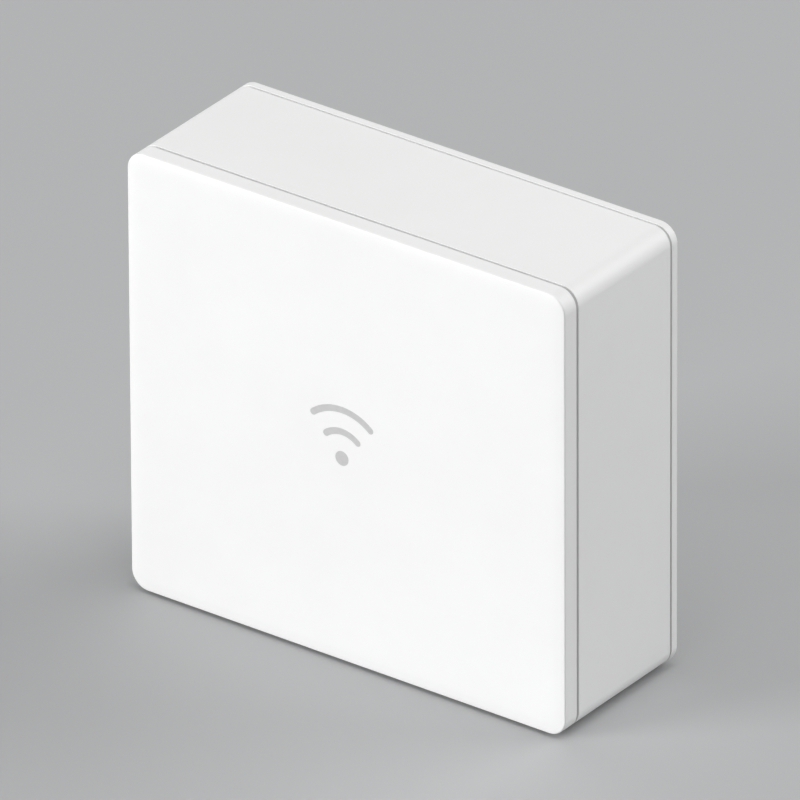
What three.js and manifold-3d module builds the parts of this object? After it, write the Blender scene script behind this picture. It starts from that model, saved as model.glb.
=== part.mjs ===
// A smart home hub: a white box that stands on a shelf, or hangs on the wall plate clipped to its back.
// Millimetres. +Z is up, the front faces -Y, +X is to the right of someone facing the front, and the
// origin is on the shelf under the middle of the hub.
import * as THREE from "three";
import { mergeVertices } from "three/addons/utils/BufferGeometryUtils.js";
import Module from "manifold-3d";

const wasm = await Module();
wasm.setup();

// ---------------------------------------------------------------- driving dimensions

// The case, seen from the front, without the feet it stands on.
const WIDTH = 100;
const HEIGHT = 92.2;
const DEPTH = 35.7;
const CORNER_RADIUS = 3.75;
const FRONT_EDGE_RADIUS = 0.5;
const FOOT_LIFT = 0.7;

// The layers of the case, from front to back: cover, seam, housing, seam, wall plate.
const COVER_DEPTH = 3.9;
const FRONT_SEAM = 0.6;
const REAR_SEAM = 0.5;
const PLATE_DEPTH = 1.87;

// Wall thicknesses, and the gaps between pieces.
const WALL = 2;
const FACE_WALL = 2.2;
const BACK_WALL = 2;
const GAP = 0.3;
const SLIM_GAP = 0.1;

// How far a cutting tool runs past what it cuts, and how far joined shapes run into each other.
const PAST = 1;
const BITE = 0.5;

// A hair's breadth, which keeps the end of a tool off the plane of the face that it cuts.
const HAIR = 0.01;

// The tongue of the front cover, which slips inside the housing.
const TONGUE_WALL = 1.2;
const TONGUE_REACH = 3;

// The ribs that stiffen the front face, and the wall that holds the light guide behind it.
const RIB_HEIGHTS = [20, 72];
const RIB_RISE = 1.2;
const RIB_THICKNESS = 1;
const RIB_END_INSET = 4;
const HOLDER_WALL = 1;
const HOLDER_RADIUS = 1.5;

// The long screws that hold the front cover, one near each corner.
const CASE_SCREW_X = 42.5;
const CASE_SCREW_INSET = 7.5;
const CASE_TUBE_RADIUS = 3.4;
const CASE_POST_RADIUS = 3.2;
const CASE_POST_REACH = 6.85;
const CASE_SEAT_WALL = 2.6;
const CASE_WEB_THICKNESS = 1.4;
const CASE_SCREW = { headRadius: 2.3, headHeight: 1.6, shankRadius: 1, length: 7.4 };

// The circuit board and its screws.
const BOARD_WIDTH = 75;
const BOARD_BOTTOM = 8;
const BOARD_TOP = 86;
const BOARD_THICKNESS = 1.6;
const BOARD_RADIUS = 2;
const BOARD_SCREW_X = 33.5;
const BOARD_SCREW_INSET = 5;
const BOARD_POST_RADIUS = 2.8;
const BOARD_PILOT_DEPTH = 8;
const SCREW_CLEARANCE = 0.4;
const BOARD_SCREW = { headRadius: 2.2, headHeight: 1.5, shankRadius: 0.9, length: 7.5 };

// The Ethernet socket, 8 contacts at the standard pitch.
const ETHERNET_X = -14;
const ETHERNET_Z = 16;
const ETHERNET_WIDTH = 16.2;
const ETHERNET_HEIGHT = 13.8;
const ETHERNET_LENGTH = 18;
const ETHERNET_SHIELD_WALL = 0.4;
const SOCKET_MOUTH_RISE = 0.6;
const SOCKET_WIDTH = 11.9;
const SOCKET_HEIGHT = 7;
const SOCKET_DEPTH = 13;
const SOCKET_FACE_INSET = 0.2;
const SOCKET_LATCH_WIDTH = 6.2;
const SOCKET_LATCH_HEIGHT = 2.6;
const CONTACT_COUNT = 8;
const CONTACT_PITCH = 1.02;
const CONTACT_WIDTH = 0.46;
const CONTACT_THICKNESS = 0.4;
const CONTACT_TIP_INSET = 3;

// The power inlet, for a round plug 5.5 mm outside and 2.1 mm inside.
const POWER_X = 8;
const POWER_Z = 15.5;
const POWER_WIDTH = 9.4;
const POWER_HEIGHT = 10.8;
const POWER_BORE_RADIUS = 3.2;
const POWER_BORE_DEPTH = 10;
const POWER_PIN_RADIUS = 1;
const POWER_PIN_INSET = 1;

// The reset switch, pressed with a pin through a small hole.
const RESET_X = 20.5;
const RESET_Z = 15.5;
const RESET_HOLE_RADIUS = 1.3;
const RESET_PLUNGER_RADIUS = 1.7;
const RESET_PLUNGER_INSET = 1;
const RESET_TRAVEL_GAP = 0.5;

// The pairing button on the left side, and the switch that it presses.
const BUTTON_Y = 0.6;
const BUTTON_Z = 62;
const BUTTON_RADIUS = 3.4;
const BUTTON_FLANGE_RADIUS = 4.8;
const BUTTON_FLANGE_THICKNESS = 1;
const BUTTON_STEM_RADIUS = 1.6;
const BUTTON_FACE_INSET = 0.1;
const BUTTON_DISH_RADIUS = 5.4;
const BUTTON_DISH_DEPTH = 0.6;
const SWITCH_SIZE = 6;
const SWITCH_HEIGHT = 3.5;
const PLUNGER_RADIUS = 1.5;
const PLUNGER_REACH = 2;
const PLUNGER_TRAVEL_GAP = 0.6;

// The speaker behind its holes on the left side.
const SPEAKER_Y = 1.7;
const SPEAKER_Z = 28;
const SPEAKER_RADIUS = 10;
const SPEAKER_DEPTH = 4.5;
const SPEAKER_BASKET_DEPTH = 2.4;
const SPEAKER_MAGNET_RADIUS = 5.5;
const SPEAKER_RING_WALL = 1.2;
const SPEAKER_RING_RISE = 4;
const SPEAKER_HOLE_RADIUS = 0.75;
const SPEAKER_HOLE_PITCH = 3.1;
const SPEAKER_HOLE_RINGS = 2;

// The status mark on the front: a dot with two arcs over it, lit from behind.
const MARK_X = -0.8;
const MARK_Z = 43.6;
const MARK_STROKE = 1.33;
const MARK_DOT_RADIUS = 1.5;
const MARK_ARC_RADII = [5.6, 10.2];
const MARK_HALF_ANGLE = THREE.MathUtils.degToRad(40);
const GUIDE_WIDTH = 17;
const GUIDE_HEIGHT = 17;
const GUIDE_THICKNESS = 1.4;
const GUIDE_RADIUS = 0.5;
const GUIDE_PIPE_RADII = { front: 4, back: 2.5 };
const LED_SIZE = { width: 3.2, height: 2.8, thickness: 1.2 };
const LED_GAP = 0.4;

// The backup battery on the back wall.
const BATTERY_WIDTH = 52;
const BATTERY_HEIGHT = 30;
const BATTERY_THICKNESS = 9;
const BATTERY_RADIUS = 2.5;
const BATTERY_Z = 57;
const BATTERY_LEAD_DROP = 10;
const CRADLE_WALL = 1.2;
const CRADLE_RISE = 5;

// The wall plate: its port window, two wall screws and four clips.
const WINDOW_WIDTH = 50;
const WINDOW_HEIGHT = 20;
const WINDOW_Z = 16.5;
const WINDOW_RADIUS = 2.5;
const WALL_SCREW_X = 30;
const WALL_SCREW_Z = 50;
const WALL_SCREW_RADIUS = 2.25;
const WALL_SCREW_SINK_RADIUS = 4;
const WALL_SCREW_LAND = 0.4;
const CLIP_X = 37;
const CLIP_HEIGHTS = [28, 72];
const CLIP_WIDTH = 8;
const CLIP_THICKNESS = 1.2;
const CLIP_REACH = 4.6;
const CLIP_BARB = 0.5;
const CLIP_BARB_START = 1.7;
const CLIP_BARB_PEAK = 1.1;

// The air slots, through the back wall and the wall plate.
const VENT_COUNT = 9;
const VENT_PITCH = 5;
const VENT_WIDTH = 2;
const VENT_LENGTH = 8;
const VENT_Z = 83;

// The four rubber feet.
const FOOT_X = 38;
const FOOT_DEPTHS = { front: -8.6, rear: 10.4 };
const FOOT_RADIUS = 4;
const FOOT_THICKNESS = 1.6;
const SEAT_GAP = 0.2;

// The rating label, in its shallow seat under the base.
const LABEL_WIDTH = 52;
const LABEL_DEPTH = 16;
const LABEL_Y = 1;
const LABEL_THICKNESS = 0.25;
const LABEL_SEAT_DEPTH = 0.4;

// The pressed lids on the board: the sheet they are made of, and the hole in a corner of each.
const LID_SHEET = 0.4;
const LID_RADIUS = 1;
const LID_HOLE_RADIUS = 1;
const LID_HOLE_INSET = 3;

// How finely round shapes are divided.
const CORNER_STEPS = 4;
const ROUND_SIDES = 24;
const DISH_SIDES = 32;
const SCREW_SIDES = 16;
const SMALL_SIDES = 12;
const TINY_SIDES = 10;

// ---------------------------------------------------------------- places worked out from them

const FRONT = -DEPTH / 2;
const BACK = DEPTH / 2;
const FACE_INNER = FRONT + FACE_WALL;
const COVER_BACK = FRONT + COVER_DEPTH;
const HOUSING_FRONT = COVER_BACK + FRONT_SEAM;
const PLATE_FRONT = BACK - PLATE_DEPTH;
const HOUSING_BACK = PLATE_FRONT - REAR_SEAM;
const BACK_INNER = HOUSING_BACK - BACK_WALL;
const BOTTOM = FOOT_LIFT;
const TOP = FOOT_LIFT + HEIGHT;
const MIDDLE = (BOTTOM + TOP) / 2;
const LEFT = -WIDTH / 2;
const LEFT_INNER = LEFT + WALL;
const RIGHT_INNER = -LEFT_INNER;
const TOP_INNER = TOP - WALL;

const SOCKET_FACE = HOUSING_BACK - GAP;
const BOARD_BACK = SOCKET_FACE - ETHERNET_LENGTH;
const BOARD_FRONT = BOARD_BACK - BOARD_THICKNESS;
const ON_BOARD_BACK = BOARD_BACK + SLIM_GAP;
const ON_BOARD_FRONT = BOARD_FRONT - SLIM_GAP;

const CASE_SCREW_HEIGHTS = { lower: BOTTOM + CASE_SCREW_INSET, upper: TOP - CASE_SCREW_INSET };
const BOARD_SCREW_HEIGHTS = { lower: BOARD_BOTTOM + BOARD_SCREW_INSET, upper: BOARD_TOP - BOARD_SCREW_INSET };
const SIDES = { left: -1, right: 1 };
const CASE_POST_END = FACE_INNER + CASE_POST_REACH;
const CASE_TUBE_FRONT = CASE_POST_END + GAP;
const CASE_SEAT = CASE_TUBE_FRONT + CASE_SEAT_WALL;

// ---------------------------------------------------------------- materials

function plastic(color, roughness) {
  return new THREE.MeshStandardMaterial({ color, roughness, metalness: 0 });
}

function metal(color, roughness) {
  return new THREE.MeshStandardMaterial({ color, roughness, metalness: 1 });
}

const whiteShell = plastic("#f2f2f1", 0.5);
const greyLight = plastic("#c9c8c9", 0.35);
const greyRubber = plastic("#8d8e90", 0.9);
const labelPaper = plastic("#dcdddd", 0.6);
const greenBoard = plastic("#1f5a38", 0.5);
const blackPlastic = plastic("#1a1b1d", 0.45);
const creamPlastic = plastic("#e4dfcf", 0.45);
const padGrey = plastic("#8a97a6", 0.85);
const batteryWrap = plastic("#2f6fb0", 0.35);
const cableJacket = plastic("#222326", 0.5);
const steel = metal("#b9bcc0", 0.35);
const tinPlate = metal("#c6c9cc", 0.28);
const aluminium = metal("#c9ccd0", 0.4);
const goldPlate = metal("#d8b25a", 0.3);

// ---------------------------------------------------------------- shapes

// A closed geometry as a solid that can be joined to others and cut.
function solidFrom(geometry) {
  const bare = geometry.clone();
  bare.deleteAttribute("normal");
  bare.deleteAttribute("uv");
  const merged = mergeVertices(bare, 1e-4);
  const mesh = new wasm.Mesh({
    numProp: 3,
    vertProperties: merged.attributes.position.array,
    triVerts: new Uint32Array(merged.index.array),
  });
  return new wasm.Manifold(mesh);
}

// A solid as a geometry that a mesh can show.
function geometryFrom(solid) {
  const mesh = solid.getMesh();
  const geometry = new THREE.BufferGeometry();
  geometry.setAttribute("position", new THREE.BufferAttribute(mesh.vertProperties, 3));
  geometry.setIndex(new THREE.BufferAttribute(mesh.triVerts, 1));
  geometry.computeVertexNormals();
  return geometry;
}

function join(first, ...others) {
  return others.reduce((whole, next) => whole.add(next), first);
}

function cut(first, ...tools) {
  return tools.reduce((rest, tool) => rest.subtract(tool), first);
}

// A block given by its low and high ends along X, Y and Z.
function block([x0, x1], [y0, y1], [z0, z1]) {
  const geometry = new THREE.BoxGeometry(x1 - x0, y1 - y0, z1 - z0);
  geometry.translate((x0 + x1) / 2, (y0 + y1) / 2, (z0 + z1) / 2);
  return solidFrom(geometry);
}

// The low and high ends of a span, from its middle and its length.
function span(middle, length) {
  return [middle - length / 2, middle + length / 2];
}

function inOrder(a, b) {
  return [Math.min(a, b), Math.max(a, b)];
}

// Round bars along each axis, from one end to the other.
function rodX(radius, [x0, x1], y, z, sides = ROUND_SIDES) {
  const geometry = new THREE.CylinderGeometry(radius, radius, x1 - x0, sides);
  geometry.rotateZ(Math.PI / 2);
  geometry.translate((x0 + x1) / 2, y, z);
  return solidFrom(geometry);
}

function rodY(radius, [y0, y1], x, z, sides = ROUND_SIDES) {
  return coneY(radius, radius, [y0, y1], x, z, sides);
}

function rodZ(radius, [z0, z1], x, y, sides = ROUND_SIDES) {
  const geometry = new THREE.CylinderGeometry(radius, radius, z1 - z0, sides);
  geometry.rotateX(Math.PI / 2);
  geometry.translate(x, y, (z0 + z1) / 2);
  return solidFrom(geometry);
}

// A cone along Y, with one radius at its front end and another at its back end.
function coneY(frontRadius, backRadius, [y0, y1], x, z, sides = ROUND_SIDES) {
  const geometry = new THREE.CylinderGeometry(backRadius, frontRadius, y1 - y0, sides);
  geometry.translate(x, (y0 + y1) / 2, z);
  return solidFrom(geometry);
}

// An upright outline of a rounded rectangle, centred on x and z.
function roundedOutline(width, height, radius, x = 0, z = MIDDLE) {
  const [left, right] = span(x, width);
  const [low, high] = span(z, height);
  const quarter = Math.PI / 2;
  const outline = new THREE.Shape();
  outline.absarc(right - radius, low + radius, radius, -quarter, 0);
  outline.absarc(right - radius, high - radius, radius, 0, quarter);
  outline.absarc(left + radius, high - radius, radius, quarter, 2 * quarter);
  outline.absarc(left + radius, low + radius, radius, 2 * quarter, 3 * quarter);
  outline.closePath();
  return outline;
}

// The same with a margin added all round, and its own corner radius.
function grownOutline(width, height, margin, radius, x, z) {
  return roundedOutline(width + 2 * margin, height + 2 * margin, radius, x, z);
}

// The outline of the case, drawn in from its outside all round.
function caseOutline(inset = 0) {
  const tightest = 1;
  const radius = Math.max(CORNER_RADIUS - inset, tightest);
  return roundedOutline(WIDTH - 2 * inset, HEIGHT - 2 * inset, radius);
}

// An upright outline made solid, from one depth to another.
function prism(outline, [y0, y1]) {
  const geometry = new THREE.ExtrudeGeometry(outline, {
    depth: y1 - y0,
    bevelEnabled: false,
    curveSegments: CORNER_STEPS,
  });
  geometry.rotateX(Math.PI / 2);
  geometry.translate(0, y1, 0);
  return solidFrom(geometry);
}

// The same with its front edge rounded over.
function prismWithSoftFront(outline, [y0, y1], radius) {
  const geometry = new THREE.ExtrudeGeometry(outline, {
    depth: y1 - y0,
    bevelThickness: radius,
    bevelSize: radius,
    bevelOffset: -radius,
    bevelSegments: 3,
    curveSegments: CORNER_STEPS,
  });
  geometry.rotateX(Math.PI / 2);
  geometry.translate(0, y1 + radius, 0);
  const behind = block(span(0, 2 * WIDTH), [y1, y1 + 3 * radius], span(MIDDLE, 2 * HEIGHT));
  return cut(solidFrom(geometry), behind);
}

// A wire or cable of round section along a smooth curve through its points.
function cable(points, radius, steps) {
  const section = new THREE.Shape();
  section.absarc(0, 0, radius, 0, 2 * Math.PI);
  const route = new THREE.CatmullRomCurve3(points.map((point) => new THREE.Vector3(...point)));
  const geometry = new THREE.ExtrudeGeometry(section, { extrudePath: route, steps, curveSegments: 4 });
  return solidFrom(geometry);
}

// A cross-head screw along Y, with its head's seat at y. It points to the back, or with -1 to the front.
function screw(size, x, y, z, towards = 1) {
  const top = y - towards * size.headHeight;
  const tip = y + towards * size.length;
  const slotDepths = span(top, size.headHeight);
  const slotWidth = 0.28 * size.headRadius;
  const slotLength = 1.3 * size.headRadius;
  return cut(
    join(
      rodY(size.headRadius, inOrder(y, top), x, z, SCREW_SIDES),
      rodY(size.shankRadius, inOrder((y + top) / 2, tip), x, z, SMALL_SIDES),
    ),
    block(span(x, slotWidth), slotDepths, span(z, slotLength)),
    block(span(x, slotLength), slotDepths, span(z, slotWidth)),
  );
}

// ---------------------------------------------------------------- the object

const hub = new THREE.Group();

function place(name, solid, material) {
  const mesh = new THREE.Mesh(geometryFrom(solid), material.clone());
  mesh.name = name;
  hub.add(mesh);
}

// Calls make(side, level, x, z) for the four places that screws take.
function atCorners(x, heights, make) {
  for (const [side, sign] of Object.entries(SIDES)) {
    for (const [level, z] of Object.entries(heights)) make(side, level, sign * x, z);
  }
}

function cornerSolids(x, heights, make) {
  const solids = [];
  atCorners(x, heights, (side, level, cornerX, z) => solids.push(make(cornerX, z)));
  return solids;
}

// One stroke of the status mark: an arc with round ends, grown by a margin all round.
function markArc(radius, margin, [y0, y1]) {
  const half = MARK_STROKE / 2 + margin;
  const right = Math.PI / 2 - MARK_HALF_ANGLE;
  const left = Math.PI / 2 + MARK_HALF_ANGLE;
  const at = (angle) => [MARK_X + radius * Math.cos(angle), MARK_Z + radius * Math.sin(angle)];
  const outline = new THREE.Shape();
  outline.absarc(MARK_X, MARK_Z, radius + half, right, left);
  outline.absarc(...at(left), half, left, left + Math.PI);
  outline.absarc(MARK_X, MARK_Z, radius - half, left, right, true);
  outline.absarc(...at(right), half, right + Math.PI, right + 2 * Math.PI);
  return prism(outline, [y0, y1]);
}

function markStrokes(margin, depth) {
  const dot = rodY(MARK_DOT_RADIUS + margin, depth, MARK_X, MARK_Z);
  return join(dot, ...MARK_ARC_RADII.map((radius) => markArc(radius, margin, depth)));
}

const GUIDE_Z = MARK_Z + MARK_ARC_RADII[1] / 2;

// A tray that closes the front. Its tongue slips into the housing, and its posts take the case screws.
function makeFrontCover() {
  const tongueOutside = WALL + GAP;
  const tongueInside = tongueOutside + TONGUE_WALL;
  const tongueEnd = HOUSING_FRONT + TONGUE_REACH;
  const shell = cut(
    join(
      prismWithSoftFront(caseOutline(), [FRONT, COVER_BACK], FRONT_EDGE_RADIUS),
      prism(caseOutline(tongueOutside), [COVER_BACK - BITE, tongueEnd]),
    ),
    prism(caseOutline(tongueInside), [FACE_INNER, tongueEnd + PAST]),
  );
  const posts = cornerSolids(CASE_SCREW_X, CASE_SCREW_HEIGHTS, (x, z) =>
    rodY(CASE_POST_RADIUS, [FACE_INNER - BITE, CASE_POST_END], x, z, SCREW_SIDES),
  );
  const pilots = cornerSolids(CASE_SCREW_X, CASE_SCREW_HEIGHTS, (x, z) =>
    rodY(CASE_SCREW.shankRadius + GAP, [FACE_INNER + PAST, CASE_POST_END + PAST], x, z, SMALL_SIDES),
  );
  const ribDepths = [FACE_INNER - BITE, FACE_INNER + RIB_RISE];
  const ribLength = WIDTH - 2 * RIB_END_INSET;
  const ribs = RIB_HEIGHTS.map((z) => block(span(0, ribLength), ribDepths, span(z, RIB_THICKNESS)));
  const holderWidth = GUIDE_WIDTH + 2 * GAP;
  const holderHeight = GUIDE_HEIGHT + 2 * GAP;
  const holder = cut(
    prism(grownOutline(holderWidth, holderHeight, HOLDER_WALL, HOLDER_RADIUS, MARK_X, GUIDE_Z), ribDepths),
    prism(
      roundedOutline(holderWidth, holderHeight, GUIDE_RADIUS + SLIM_GAP, MARK_X, GUIDE_Z),
      [FACE_INNER, ribDepths[1] + PAST],
    ),
  );
  const marks = markStrokes(SLIM_GAP, [FRONT - PAST, FACE_INNER + BITE]);
  place("front_cover", cut(join(shell, ...posts, ...ribs, holder), ...pilots, marks), whiteShell);
}

// A clear piece behind the front face, whose strokes show through it, with a pipe back to the light.
function makeStatusLightGuide() {
  const base = [FACE_INNER + SLIM_GAP, FACE_INNER + SLIM_GAP + GUIDE_THICKNESS];
  const plate = prism(roundedOutline(GUIDE_WIDTH, GUIDE_HEIGHT, GUIDE_RADIUS, MARK_X, GUIDE_Z), base);
  const pipeSpan = [base[0] + BITE, ON_BOARD_FRONT - LED_SIZE.thickness - LED_GAP];
  const pipe = coneY(GUIDE_PIPE_RADII.front, GUIDE_PIPE_RADII.back, pipeSpan, MARK_X, GUIDE_Z);
  const strokes = markStrokes(0, [FRONT, base[0] + BITE]);
  place("status_light_guide", join(plate, pipe, strokes), greyLight);
}

// The long tubes that the case screws go down, with webs that tie them to the side walls.
function screwTube(x, z) {
  const side = Math.sign(x);
  const web = inOrder(x, side * (RIGHT_INNER + BITE));
  const depths = [CASE_TUBE_FRONT, BACK_INNER + BITE];
  return join(
    rodY(CASE_TUBE_RADIUS, depths, x, z, ROUND_SIDES),
    block(web, depths, span(z, CASE_WEB_THICKNESS)),
  );
}

function screwTubeBore(x, z) {
  return join(
    rodY(CASE_SCREW.headRadius + GAP, [CASE_SEAT, HOUSING_BACK + PAST], x, z, SCREW_SIDES),
    rodY(
      CASE_SCREW.shankRadius + SCREW_CLEARANCE,
      [CASE_TUBE_FRONT - PAST, CASE_SEAT + PAST],
      x,
      z,
      SMALL_SIDES,
    ),
  );
}

function boardPost(x, z) {
  return rodY(BOARD_POST_RADIUS, [BOARD_BACK + GAP, BACK_INNER + BITE], x, z, SCREW_SIDES);
}

function boardPostPilot(x, z) {
  const depths = [BOARD_BACK, BOARD_BACK + BOARD_PILOT_DEPTH];
  return rodY(BOARD_SCREW.shankRadius + GAP, depths, x, z, SMALL_SIDES);
}

// Upright slots with round ends, in a row. The ends stop just short of a half circle.
function ventSlots(depths) {
  const endRadius = 0.495 * VENT_WIDTH;
  const slots = [];
  for (let i = 0; i < VENT_COUNT; i++) {
    const x = (i - (VENT_COUNT - 1) / 2) * VENT_PITCH;
    slots.push(prism(roundedOutline(VENT_WIDTH, VENT_LENGTH, endRadius, x, VENT_Z), depths));
  }
  return slots;
}

// Rings of small holes round a middle one.
function speakerHoles() {
  const across = [LEFT - PAST, LEFT_INNER + PAST];
  const holes = [rodX(SPEAKER_HOLE_RADIUS, across, SPEAKER_Y, SPEAKER_Z, TINY_SIDES)];
  for (let ring = 1; ring <= SPEAKER_HOLE_RINGS; ring++) {
    const count = 6 * ring;
    for (let i = 0; i < count; i++) {
      const angle = (2 * Math.PI * i) / count;
      const y = SPEAKER_Y + ring * SPEAKER_HOLE_PITCH * Math.cos(angle);
      const z = SPEAKER_Z + ring * SPEAKER_HOLE_PITCH * Math.sin(angle);
      holes.push(rodX(SPEAKER_HOLE_RADIUS, across, y, z, TINY_SIDES));
    }
  }
  return holes;
}

// Where the clips of the wall plate go through the back wall. A clip leans out by its barb.
function clipSlots() {
  const slots = [];
  for (const sign of Object.values(SIDES)) {
    const inner = CLIP_X - CLIP_THICKNESS / 2 - GAP;
    const outer = CLIP_X + CLIP_THICKNESS / 2 + CLIP_BARB + GAP;
    const across = inOrder(sign * inner, sign * outer);
    for (const z of CLIP_HEIGHTS) {
      slots.push(block(across, [BACK_INNER - PAST, HOUSING_BACK + PAST], span(z, CLIP_WIDTH + 2 * GAP)));
    }
  }
  return slots;
}

// A low wall round the battery, open where its lead comes out.
function batteryCradle() {
  const width = BATTERY_WIDTH + 2 * GAP;
  const height = BATTERY_HEIGHT + 2 * GAP;
  const depths = [BACK_INNER - CRADLE_RISE, BACK_INNER + BITE];
  const hollow = [depths[0] - PAST, BACK_INNER];
  const outerRadius = 1.5;
  const innerRadius = 0.8;
  const leadWayHeight = 6;
  return cut(
    prism(grownOutline(width, height, CRADLE_WALL, outerRadius, 0, BATTERY_Z), depths),
    prism(roundedOutline(width, height, innerRadius, 0, BATTERY_Z), hollow),
    block(
      [width / 2 - PAST, width / 2 + CRADLE_WALL + PAST],
      hollow,
      span(BATTERY_Z - BATTERY_LEAD_DROP, leadWayHeight),
    ),
  );
}

// A ring on the inside of the left wall that holds the speaker.
function speakerRing() {
  const inner = SPEAKER_RADIUS + GAP;
  const rise = [LEFT_INNER, LEFT_INNER + SPEAKER_RING_RISE];
  return cut(
    rodX(inner + SPEAKER_RING_WALL, [rise[0] - BITE, rise[1]], SPEAKER_Y, SPEAKER_Z),
    rodX(inner, [rise[0], rise[1] + PAST], SPEAKER_Y, SPEAKER_Z),
  );
}

// The ways through the back wall for the sockets and for the pin that presses the reset switch.
function portHoles(depths) {
  const hole = (x, z, width, height) => block(span(x, width + 2 * GAP), depths, span(z, height + 2 * GAP));
  return [
    hole(ETHERNET_X, ETHERNET_Z, ETHERNET_WIDTH, ETHERNET_HEIGHT),
    hole(POWER_X, POWER_Z, POWER_WIDTH, POWER_HEIGHT),
    rodY(RESET_HOLE_RADIUS, depths, RESET_X, RESET_Z, SCREW_SIDES),
  ];
}

// The hole for the pairing button, in a shallow dish for the fingertip.
function buttonHole() {
  const dish = [LEFT - PAST, LEFT + BUTTON_DISH_DEPTH];
  return join(
    rodX(BUTTON_RADIUS + GAP, [LEFT - PAST, LEFT_INNER + PAST], BUTTON_Y, BUTTON_Z),
    rodX(BUTTON_DISH_RADIUS, dish, BUTTON_Y, BUTTON_Z, DISH_SIDES),
  );
}

// The shallow seats under the base, for the feet and the label.
function baseSeats() {
  const heights = [BOTTOM - PAST, FOOT_THICKNESS + SLIM_GAP];
  const seats = [];
  for (const y of Object.values(FOOT_DEPTHS)) {
    for (const sign of Object.values(SIDES)) {
      seats.push(rodZ(FOOT_RADIUS + SEAT_GAP, heights, sign * FOOT_X, y));
    }
  }
  const labelSeat = block(
    span(0, LABEL_WIDTH + 2 * SEAT_GAP),
    span(LABEL_Y, LABEL_DEPTH + 2 * SEAT_GAP),
    [BOTTOM - PAST, BOTTOM + LABEL_SEAT_DEPTH],
  );
  return [...seats, labelSeat];
}

// A deep box, open at the front, with the sockets, the button and the speaker holes through its walls.
function makeMainHousing() {
  const shell = cut(
    prism(caseOutline(), [HOUSING_FRONT, HOUSING_BACK]),
    prism(caseOutline(WALL), [HOUSING_FRONT - PAST, BACK_INNER]),
  );
  const structure = join(
    shell,
    speakerRing(),
    batteryCradle(),
    ...cornerSolids(CASE_SCREW_X, CASE_SCREW_HEIGHTS, screwTube),
    ...cornerSolids(BOARD_SCREW_X, BOARD_SCREW_HEIGHTS, boardPost),
  );
  const throughBack = [BACK_INNER - PAST, HOUSING_BACK + PAST];
  const solid = cut(
    structure,
    buttonHole(),
    ...portHoles(throughBack),
    ...ventSlots(throughBack),
    ...speakerHoles(),
    ...clipSlots(),
    ...baseSeats(),
    ...cornerSolids(CASE_SCREW_X, CASE_SCREW_HEIGHTS, screwTubeBore),
    ...cornerSolids(BOARD_SCREW_X, BOARD_SCREW_HEIGHTS, boardPostPilot),
  );
  place("main_housing", solid, whiteShell);
}

// One clip of the wall plate: a springy finger with a barb at its tip, which points away from the middle.
function clip(sign, z) {
  const inner = sign * (CLIP_X - CLIP_THICKNESS / 2);
  const outer = sign * (CLIP_X + CLIP_THICKNESS / 2);
  const tip = PLATE_FRONT - CLIP_REACH;
  const profile = new THREE.Shape();
  profile.moveTo(inner, PLATE_FRONT + BITE);
  profile.lineTo(inner, tip);
  profile.lineTo(outer, tip);
  profile.lineTo(outer + sign * CLIP_BARB, tip + CLIP_BARB_PEAK);
  profile.lineTo(outer, tip + CLIP_BARB_START);
  profile.lineTo(outer, PLATE_FRONT + BITE);
  profile.closePath();
  const geometry = new THREE.ExtrudeGeometry(profile, { depth: CLIP_WIDTH, bevelEnabled: false });
  geometry.translate(0, 0, z - CLIP_WIDTH / 2);
  return solidFrom(geometry);
}

// A flat plate with a window for the plugs. Wall screws hold it, and the hub clips onto it.
function makeWallPlate() {
  const through = [PLATE_FRONT - PAST, BACK + PAST];
  const sinkDepths = [PLATE_FRONT - HAIR, BACK - WALL_SCREW_LAND];
  const clips = [];
  const screwHoles = [];
  for (const sign of Object.values(SIDES)) {
    const x = sign * WALL_SCREW_X;
    screwHoles.push(rodY(WALL_SCREW_RADIUS, through, x, WALL_SCREW_Z));
    screwHoles.push(coneY(WALL_SCREW_SINK_RADIUS, WALL_SCREW_RADIUS, sinkDepths, x, WALL_SCREW_Z));
    for (const z of CLIP_HEIGHTS) clips.push(clip(sign, z));
  }
  const solid = cut(
    join(prism(caseOutline(), [PLATE_FRONT, BACK]), ...clips),
    prism(roundedOutline(WINDOW_WIDTH, WINDOW_HEIGHT, WINDOW_RADIUS, 0, WINDOW_Z), through),
    ...screwHoles,
    ...ventSlots(through),
  );
  place("wall_plate", solid, whiteShell);
}

function makeFeet() {
  for (const [end, y] of Object.entries(FOOT_DEPTHS)) {
    for (const [side, sign] of Object.entries(SIDES)) {
      place(`foot_${end}_${side}`, rodZ(FOOT_RADIUS, [0, FOOT_THICKNESS], sign * FOOT_X, y), greyRubber);
    }
  }
}

function makeRatingLabel() {
  const high = BOTTOM + LABEL_SEAT_DEPTH - SLIM_GAP;
  const label = block(span(0, LABEL_WIDTH), span(LABEL_Y, LABEL_DEPTH), [high - LABEL_THICKNESS, high]);
  place("rating_label", label, labelPaper);
}

// ---------------------------------------------------------------- what is inside

function makeMainBoard() {
  const holes = cornerSolids(BOARD_SCREW_X, BOARD_SCREW_HEIGHTS, (x, z) =>
    rodY(
      BOARD_SCREW.shankRadius + SCREW_CLEARANCE,
      [BOARD_FRONT - PAST, BOARD_BACK + PAST],
      x,
      z,
      SMALL_SIDES,
    ),
  );
  const middle = (BOARD_BOTTOM + BOARD_TOP) / 2;
  const outline = roundedOutline(BOARD_WIDTH, BOARD_TOP - BOARD_BOTTOM, BOARD_RADIUS, 0, middle);
  place("main_board", cut(prism(outline, [BOARD_FRONT, BOARD_BACK]), ...holes), greenBoard);
}

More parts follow.
